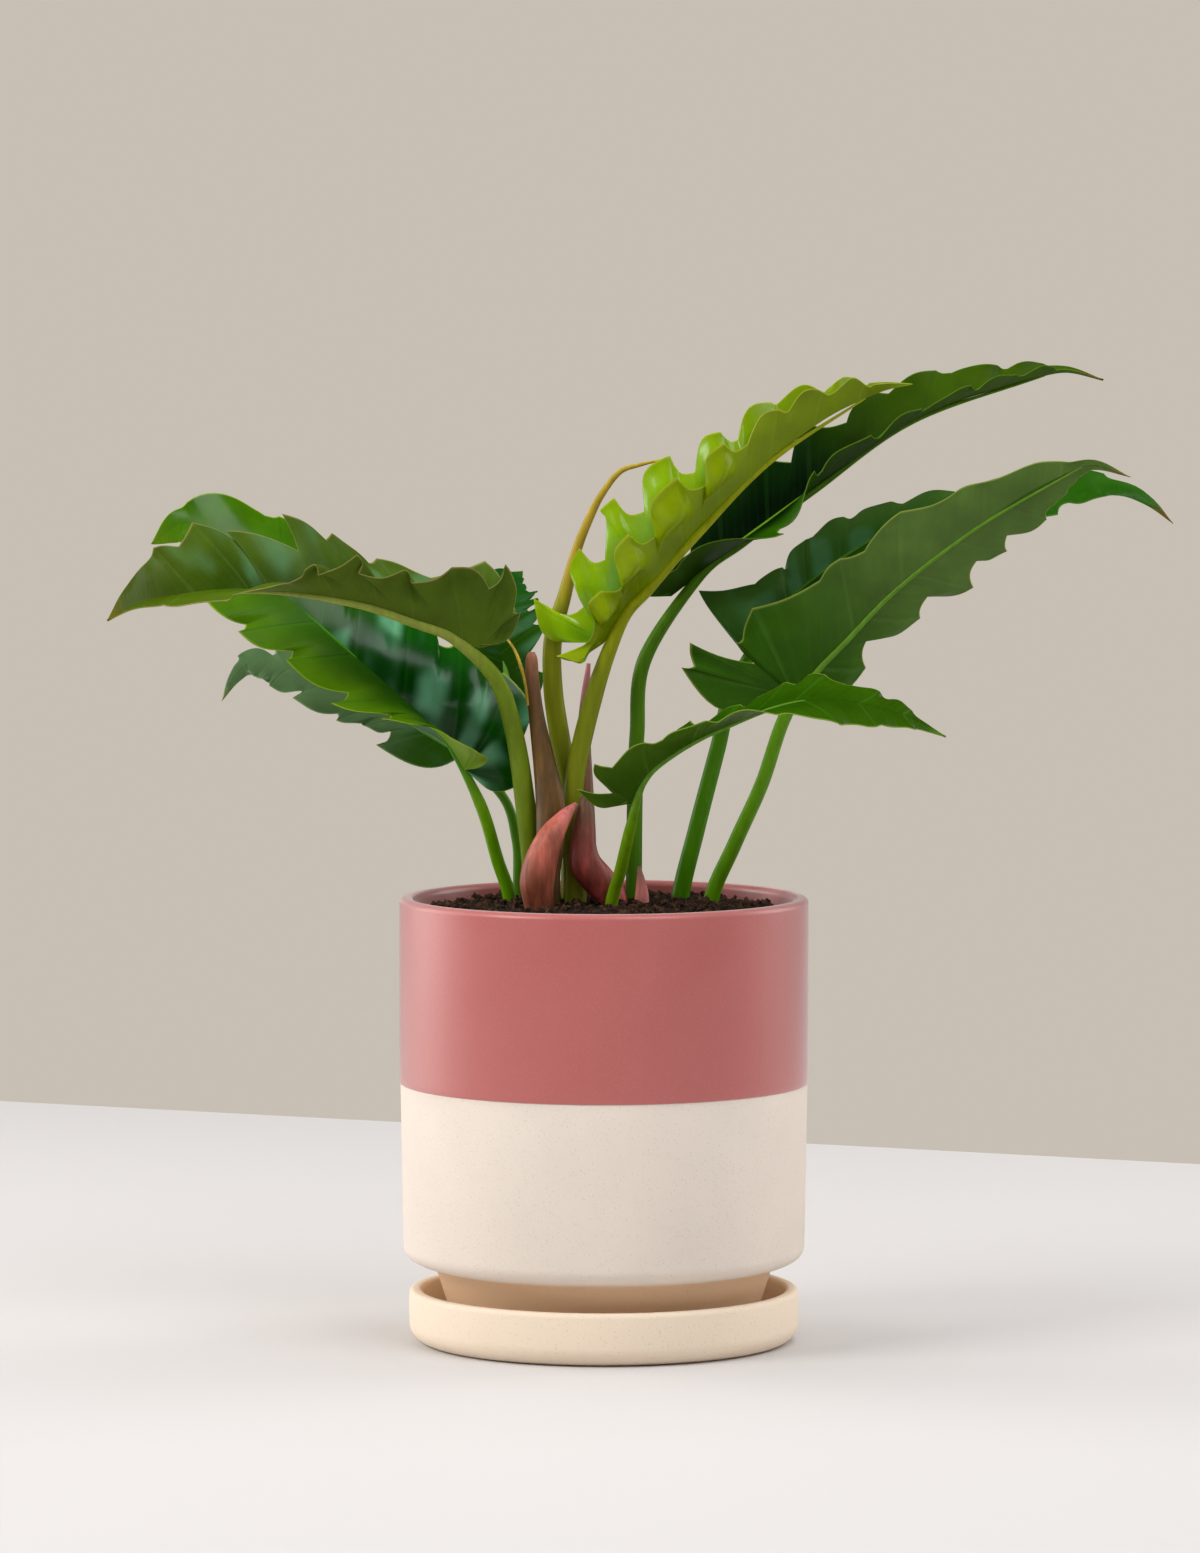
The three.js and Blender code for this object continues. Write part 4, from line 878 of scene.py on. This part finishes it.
def blade_material(name, look):
    """Leaf skin: colours that run out from the midrib, side veins, a painted sheen between them, a paler
    margin and a dry tip.
    """
    paint = Shader(name, Specular_IOR_Level=LEAF_SPECULAR, Coat_Roughness=0.2)
    side, under, reach = (paint.mark(mark) for mark in ("side", "under", "reach"))
    lane, share = paint.place()

    def half(key):
        inner, outer = (srgb(*c) for c in look[key])
        return paint.mix(paint.band(share, *OUTWARD), inner, outer)

    def by_side(key):
        left, right = look[key]
        return paint.math("MULTIPLY_ADD", side, right - left, left)

    def over(color, mask, strength, key):
        return paint.mix(paint.times(mask, strength), color, srgb(*look[key]))

    off = paint.math("ABSOLUTE", paint.math("SUBTRACT", paint.math("FRACT", lane), TOOTH_SHARE))
    vein = paint.inverse(paint.band(off, VEIN_WIDTH * 0.3, VEIN_WIDTH))
    small = paint.math("FRACT", paint.times(lane, FINE_VEINS))
    small = paint.math("ABSOLUTE", paint.math("SUBTRACT", small, 0.5))
    small = paint.inverse(paint.band(small, *FINE_VEIN))
    mottle = paint.noise(70, 3.0, 0.55)
    upper = paint.mix(side, half("left"), half("right"))
    color = paint.mix(paint.band(under, 0.4, 0.6), upper, half("under"))
    far = paint.band(reach, *look["turn"])
    color = over(color, far, FAR_SHARE, "far")
    # Painted sheen: pale highlight colour painted in patchy bands between the veins on the upper side,
    # fading out towards the tip
    painted_sheen = paint.times(paint.times(by_side("painted_sheen"), paint.inverse(under)), paint.inverse(far))
    patch = paint.band(paint.noise(46, 1.0, 0.4), 0.44, 0.62)
    painted_sheen = paint.times(paint.times(painted_sheen, paint.band(off, *BETWEEN_VEINS)), patch)
    color = paint.mix(paint.times(painted_sheen, PAINTED_SHEEN_SHARE), color, PAINTED_SHEEN_COLOR)
    color = over(color, vein, VEIN_SHARE, "vein")
    color = over(color, small, FINE_VEIN_SHARE, "vein")
    color = paint.shade(color, mottle, (0.62, 0.62, 0.62), (1.34, 1.34, 1.3))
    color = over(color, paint.band(share, *MARGIN), MARGIN_SHARE, "margin")
    color = over(color, paint.band(reach, *TIP), TIP_SHARE, "tip")
    rough = paint.math("MULTIPLY_ADD", under, 0.1, by_side("rough"))
    rough = paint.math("ADD", rough, paint.band(mottle, 0.3, 0.7, -0.05, 0.06))
    coat = paint.times(by_side("coat"), paint.math("MULTIPLY_ADD", under, -0.5, 1.0))
    paint.put(paint.surface.inputs["Coat Weight"], coat)
    height = paint.math("ADD", paint.times(vein, -0.5), paint.times(small, -0.1))
    height = paint.math("ADD", height, paint.times(paint.noise(900, 2.0), 0.18))
    height = paint.math("ADD", height, paint.times(mottle, 0.8))
    return paint.finish(color, rough, height, depth=0.0005, strength=0.7)


def stalk_material(name, colors, stalk_knots):
    """Stalk skin: a colour at the soil, at the blade and along the midrib, with fine long streaks."""
    paint = Shader(name, Specular_IOR_Level=0.12)
    _, reach = paint.place()
    base, top, rib = (srgb(*c) for c in colors)
    blade = stalk_knots / (stalk_knots + len(RIB_PLACES))
    color = paint.mix(paint.band(reach, 0.1, blade), base, top)
    color = paint.mix(paint.band(reach, blade, blade + 0.12), color, rib)
    streak = paint.noise(420, 2.0, stretch=(1, 1, 0.06))
    color = paint.shade(color, streak, (0.7, 0.7, 0.66), (1.25, 1.25, 1.2))
    color = paint.shade(color, paint.noise(50, 2.0), (0.8, 0.8, 0.8), (1.18, 1.18, 1.14))
    return paint.finish(color, 0.36, streak, depth=0.0003, strength=0.5)


def make_leaves():
    for name, leaf in LEAVES.items():
        rail = Rail(leaf)
        look = LOOKS[name]
        blade = make_blade(name + "_blade", leaf, rail, blade_material(name + "_skin", look))
        settle(blade, SLOTS[name], name)
        skin = stalk_material(name + "_stem", look["stalk"], len(leaf["stalk"]))
        settle(make_stalk(name + "_stalk", leaf, rail, skin), SLOTS[name], name)


# Pot and saucer

FOOT_FADE = (30, 33)
POT_CLAY = (230, 218, 206)
POT_FOOT_CLAY = (226, 192, 156)
SAUCER_CLAY = (242, 225, 206)
SAUCER_FOOT_CLAY = (242, 224, 202)
CLAY_CLOUD = (0.965, 1.02)
CLAY_SPECK = srgb(176, 146, 112)
ROSE_DARK = srgb(178, 92, 88)
ROSE_LIGHT = srgb(188, 101, 97)
ROSE_SPECK = srgb(222, 150, 148)


def clay_material(name, color, foot):
    """Bare clay: warm cream with fine speckle and a matte grain, in a tan colour low down."""
    paint = Shader(name, Specular_IOR_Level=0.3)
    dark, light = (srgb(*(min(255, c * part) for c in color)) for part in CLAY_CLOUD)
    body = paint.mix(paint.noise(28, 3.0, 0.6), dark, light)
    body = paint.mix(paint.band(paint.height(), *(z * MM for z in FOOT_FADE)), srgb(*foot), body)
    dot, number = paint.dots(900, 0.32)
    speck = paint.times(paint.times(dot, paint.band(number, 0.62, 0.7)), 0.34)
    body = paint.mix(speck, body, CLAY_SPECK)
    height = paint.math("SUBTRACT", paint.noise(700, 3.0), paint.times(dot, 0.5))
    return paint.finish(body, 0.82, height, depth=0.0002, strength=0.5)


def glaze_material():
    """Dusty rose glaze: satin, with faint clouding and fine specks."""
    satin = {"Coat_Weight": 0.35, "Coat_Roughness": 0.4, "Sheen_Weight": 0.8, "Sheen_Roughness": 0.4}
    paint = Shader("rose_glaze", **satin)
    cloud = paint.noise(22, 3.0, 0.6)
    body = paint.mix(cloud, ROSE_DARK, ROSE_LIGHT)
    dot, _ = paint.dots(1000, 0.35)
    body = paint.mix(paint.times(dot, 0.16), body, ROSE_SPECK)
    rough = paint.band(cloud, 0.3, 0.7, 0.34, 0.44)
    return paint.finish(body, rough, paint.noise(420, 2.0), depth=0.0001, strength=0.35)


def make_pot():
    inner = POT_RADIUS - WALL
    rim_in, rim_out = inner + RIM_ROUND, POT_RADIUS - RIM_ROUND
    rim_z = POT_TOP - RIM_ROUND
    under_glaze = POT_RADIUS - GLAZE_THICK
    glaze = [
        (under_glaze, GLAZE_Z),
        *arc((under_glaze, GLAZE_Z + GLAZE_THICK), GLAZE_THICK, -60, 0, 3),
        (POT_RADIUS, GLAZE_Z + 3),
        (POT_RADIUS, (GLAZE_Z + rim_z) / 2),
        *arc((rim_out, rim_z), RIM_ROUND, 0, 90, 8),
        *arc((rim_in, rim_z), RIM_ROUND, 90, 180, 8),
        (inner, INNER_GLAZE_Z),
        (inner + GLAZE_THICK, INNER_GLAZE_Z),
        (inner + GLAZE_THICK, rim_z),
        (rim_in, POT_TOP - GLAZE_THICK),
        (rim_out, POT_TOP - GLAZE_THICK),
        (under_glaze, rim_z),
        (under_glaze, GLAZE_Z),
    ]
    shape = Shape()
    turned(shape, glaze)
    settle(shape.build("pot_glaze", glaze_material()), "pot_glaze", "pot")
    skin = GLAZE_THICK * 2
    bare = [
        (DRAIN_RADIUS, POT_BASE),
        *arc((FOOT_RADIUS - FOOT_ROUND, POT_BASE + FOOT_ROUND), FOOT_ROUND, -90, 0, 6),
        (FOOT_TOP_RADIUS, BODY_FOOT_Z),
        *arc((BODY_FOOT_RADIUS - BODY_ROUND, BODY_FOOT_Z + BODY_ROUND), BODY_ROUND, -90, -20, 3),
        (BODY_FOOT_RADIUS + 4.6, BODY_FOOT_Z + 1.6),
        *arc((SHOULDER_RADIUS - SHOULDER_ROUND, SHOULDER_Z - 2), SHOULDER_ROUND, -62, 0, 8),
        (SHOULDER_RADIUS + 0.2, SHOULDER_Z + SHOULDER_ROUND),
        (under_glaze, GLAZE_Z),
        (POT_RADIUS - skin, GLAZE_Z + 1),
        (POT_RADIUS - skin, rim_z),
        (rim_out, POT_TOP - skin),
        (rim_in, POT_TOP - skin),
        (inner + skin, rim_z),
        (inner + skin, INNER_GLAZE_Z + 1),
        (inner, INNER_GLAZE_Z - 1),
        (inner - INSIDE_NARROWS, INSIDE_Z),
        INSIDE_TURN,
        (INSIDE_FLOOR_RADIUS, POT_FLOOR_Z),
        (DRAIN_RADIUS, POT_FLOOR_Z),
        (DRAIN_RADIUS, POT_BASE),
    ]
    shape = Shape()
    turned(shape, bare)
    clay = clay_material("pot_clay_skin", POT_CLAY, POT_FOOT_CLAY)
    settle(shape.build("pot_clay", clay), "bare_clay", "pot")


def make_saucer():
    inner = SAUCER_RADIUS - SAUCER_WALL
    rim_z = SAUCER_HEIGHT - SAUCER_RIM_ROUND
    profile = [
        (0, SAUCER_RECESS),
        (SAUCER_BASE_RADIUS - SAUCER_RING - 1, SAUCER_RECESS),
        (SAUCER_BASE_RADIUS - SAUCER_RING, 0),
        (SAUCER_BASE_RADIUS, 0),
        *arc((SAUCER_RADIUS - SAUCER_BEND, SAUCER_BEND), SAUCER_BEND, -70, 0, 10),
        *arc((SAUCER_RADIUS - SAUCER_RIM_ROUND, rim_z), SAUCER_RIM_ROUND, 0, 90, 6),
        *arc((inner + SAUCER_RIM_ROUND, rim_z), SAUCER_RIM_ROUND, 90, 180, 6),
        *arc((inner - SAUCER_HOLLOW, SAUCER_FLOOR + SAUCER_HOLLOW), SAUCER_HOLLOW, 0, -90, 6),
        (0, SAUCER_FLOOR),
    ]
    shape = Shape()
    turned(shape, profile)
    clay = clay_material("saucer_clay_skin", SAUCER_CLAY, SAUCER_FOOT_CLAY)
    settle(shape.build("saucer_clay", clay), "bare_clay", "saucer")


# Soil

SOIL_RINGS = 60
SOIL_STEPS = 180
SOIL_GAP = 1
SOIL_CLEAR = 0.3
SOIL_LEVEL = 6
LUMPS = 0.9
FINE_LUMPS = 0.6
CHUNKS = 1500
CHUNK_SIZE = (0.6, 2.2)
CHUNK_STRETCH = (0.5, 1.3)
CHUNK_ROUGH = (0.75, 1.2)
CHUNK_RISE = 0.3
CHUNK_INSET = 4


def soil_height(x, y):
    """The mounded, lumpy top of the soil."""
    edge = POT_RADIUS - WALL
    away = np.hypot(x, y)
    dome = np.sqrt(np.maximum(np.cos(np.pi / 2 * np.clip(away / edge, 0, 1)), 0))
    lumps = np.sin(x * 0.53 + 1.3) * np.cos(y * 0.61) + np.sin(y * 1.37 + x * 0.9) * 0.7
    fine = np.sin(x * 2.9 + y * 1.7) * np.cos(y * 3.1 - x * 0.8) * 0.5
    rough = (LUMPS * lumps + FINE_LUMPS * fine) * np.minimum(1, (edge - away) / SOIL_LEVEL)
    return SOIL_EDGE + SOIL_MOUND * dome + rough


def soil_material(name, dark, light):
    paint = Shader(name, Specular_IOR_Level=0.25)
    crumb = paint.noise(420, 4.0, 0.65)
    color = paint.mix(paint.band(crumb, 0.35, 0.7), srgb(*dark), srgb(*light))
    return paint.finish(color, 0.95, crumb, depth=0.0012, strength=1.0)


def make_soil():
    edge = POT_RADIUS - WALL - SOIL_CLEAR
    turns = np.linspace(0, 2 * math.pi, SOIL_STEPS + 1)
    turns[-1] = 0
    radii = edge * (1 - np.linspace(0, 1, SOIL_RINGS + 1))
    x, y = radii[:, None] * np.cos(turns), radii[:, None] * np.sin(turns)
    top = np.stack([x, y, soil_height(x, y)], -1)
    floor = POT_FLOOR_Z + SOIL_CLEAR
    wall = [
        (0, floor),
        (INSIDE_FLOOR_RADIUS - SOIL_GAP, floor),
        (INSIDE_TURN[0] - SOIL_GAP, INSIDE_TURN[1]),
        (edge - INSIDE_NARROWS, INSIDE_Z),
        (edge, SOIL_EDGE),
    ]
    shape = Shape()
    turned(shape, wall, SOIL_STEPS)
    shape.grid(top)
    skin = soil_material("soil_dark", (18, 12, 8), (58, 40, 28))
    settle(shape.build("soil_bed", skin), "soil", "soil")
    chunks()


def chunks():
    """Loose bits of bark and crumbs, half sunk in the soil's top."""
    draw = random.Random(7)
    edge = POT_RADIUS - WALL
    work = bmesh.new()
    for _ in range(CHUNKS):
        reach = (edge - CHUNK_INSET) * math.sqrt(draw.random())
        turn = draw.uniform(0, 2 * math.pi)
        x, y = reach * math.cos(turn), reach * math.sin(turn)
        size = draw.uniform(*CHUNK_SIZE) * (0.5 + 0.5 * draw.random())
        made = bmesh.ops.create_icosphere(work, subdivisions=1, radius=1.0)["verts"]
        sizes = [size * draw.uniform(*CHUNK_STRETCH) for _ in range(3)]
        z = float(soil_height(np.array(x), np.array(y))) + sizes[2] * CHUNK_RISE
        spin = draw.uniform(0, math.pi)
        for v in made:
            rough = draw.uniform(*CHUNK_ROUGH)
            a, b, c = (v.co[k] * sizes[k] * rough for k in range(3))
            v.co = Vector((x + a * math.cos(spin) - b * math.sin(spin),
                           y + a * math.sin(spin) + b * math.cos(spin), z + c)) * MM
    mesh = bpy.data.meshes.new("soil_bits")
    work.to_mesh(mesh)
    work.free()
    mesh.materials.append(soil_material("soil_bark", (30, 20, 14), (92, 62, 42)))
    settle(placed("soil_bits", mesh), "soil", "soil")


# Sheaths and the rolled new leaf

SHEATH_STEPS = 40
SHEATH_SIDES = 20
SHEATH_OPENING = 200
SHEATH_THICK = 0.7
SHEATH_ROOT = 0.8
SHEATH_THINNEST = 0.6
SHEATH_LOOKS = {
    "sheath_brown": ((86, 64, 18), (108, 76, 24), (172, 112, 86)),
    "sheath_pink_front": ((124, 70, 44), (180, 94, 74), (204, 112, 112)),
    "sheath_red_curled": ((214, 98, 102), (156, 66, 60), (108, 74, 48)),
    "sheath_pink_thin": ((104, 64, 40), (118, 78, 52), (170, 104, 108)),
    "sheath_pink_small": ((190, 100, 100), (200, 120, 116), (150, 100, 90)),
}
THREAD_COLOR = srgb(190, 164, 44)
THREAD_RADII = [1, 0.9, 0.8, 0.6, 0.4]
THREAD_STEPS = 40
THREAD_SIDES = 10
SPEAR_LOOK = ((128, 136, 20), (140, 146, 26), (176, 150, 50))
SPEAR_KNOTS = 4
SPEAR_STEPS = 260
SPEAR_SIDES = 24


def sheath_material(name, colors):
    """A papery bract: three colours from root to tip and long fibres."""
    paint = Shader(name)
    _, reach = paint.place()
    low, middle, top = (srgb(*c) for c in colors)
    color = paint.mix(paint.band(reach, 0.1, 0.55), low, middle)
    color = paint.mix(paint.band(reach, 0.6, 1.0), color, top)
    color = paint.mix(paint.mark("thread"), color, THREAD_COLOR)
    fibre = paint.noise(600, 3.0, stretch=(1, 1, 0.07))
    color = paint.shade(color, fibre, (0.55, 0.5, 0.46), (1.45, 1.42, 1.4))
    patch = paint.band(paint.noise(110, 3.0, 0.6, stretch=(1, 1, 0.4)), 0.35, 0.65)
    color = paint.shade(color, patch, (0.6, 0.62, 0.5), (1.2, 1.18, 1.22))
    return paint.finish(color, 0.5, fibre, depth=0.0006, strength=0.8)


def make_sheath(name, sheath):
    """A bract as a trough round its path, open at the back, with its thread where it has one."""
    path, radius = sheath["path"], sheath["radius"]
    x, y, z = path[0]
    knots = [(x, y, z - ROOTED / 2), *path]
    radii = [radius[0] * SHEATH_ROOT, *radius]
    u = np.linspace(0, 1, SHEATH_STEPS + 1)
    centres, ahead = smooth(knots, u)
    width = smooth(np.array(radii, float)[:, None], u)[0][:, 0]
    facing = unit(np.array(sheath["faces"], float))
    across = unit(facing - ahead * (ahead @ facing)[:, None])
    beside = np.cross(ahead, across)
    turns = np.radians(SHEATH_OPENING / 2) * np.linspace(1, -1, SHEATH_SIDES + 1)
    rays = beside[:, None] * np.sin(turns)[None, :, None] - across[:, None] * np.cos(turns)[None, :, None]

    def skin(reach):
        return centres[:, None] + reach[:, None, None] * rays
    outer = skin(width)
    inner = skin(width - np.minimum(SHEATH_THICK, width * SHEATH_THINNEST))
    uv = np.stack(np.broadcast_arrays(np.linspace(0, 1, SHEATH_SIDES + 1), u[:, None]), -1)
    shape = Shape()
    shape.grid(outer, uv)
    shape.grid(inner, uv, flip=True)
    for column, flip in ((0, False), (-1, True)):
        edge = np.stack([inner[:, column], outer[:, column]], 1)
        shape.grid(edge, uv[:, :2], flip)
    for row, flip in ((0, True), (-1, False)):
        end = np.stack([outer[row], inner[row]])
        shape.grid(end, np.stack([uv[row]] * 2), flip)
    if "thread" in sheath:
        tube(shape, sheath["thread"], THREAD_RADII, THREAD_STEPS, THREAD_SIDES, thread=1.0)
    return shape.build(name + "_bract", sheath_material(name + "_skin", SHEATH_LOOKS[name]))


def make_sheaths():
    for name, sheath in SHEATHS.items():
        settle(make_sheath(name, sheath), SLOTS[name], name)


def make_spear():
    shape = Shape()
    radii = [SPEAR["radius"][0], *SPEAR["radius"]]
    tube(shape, rooted(SPEAR["path"]), radii, SPEAR_STEPS, SPEAR_SIDES)
    piece = shape.build("new_leaf_rolled", stalk_material("new_leaf_skin", SPEAR_LOOK, SPEAR_KNOTS))
    settle(piece, "leaf_spear", "new_leaf_spear")


make_camera()
make_stage()
make_pot()
make_saucer()
make_soil()
make_leaves()
make_sheaths()
make_spear()
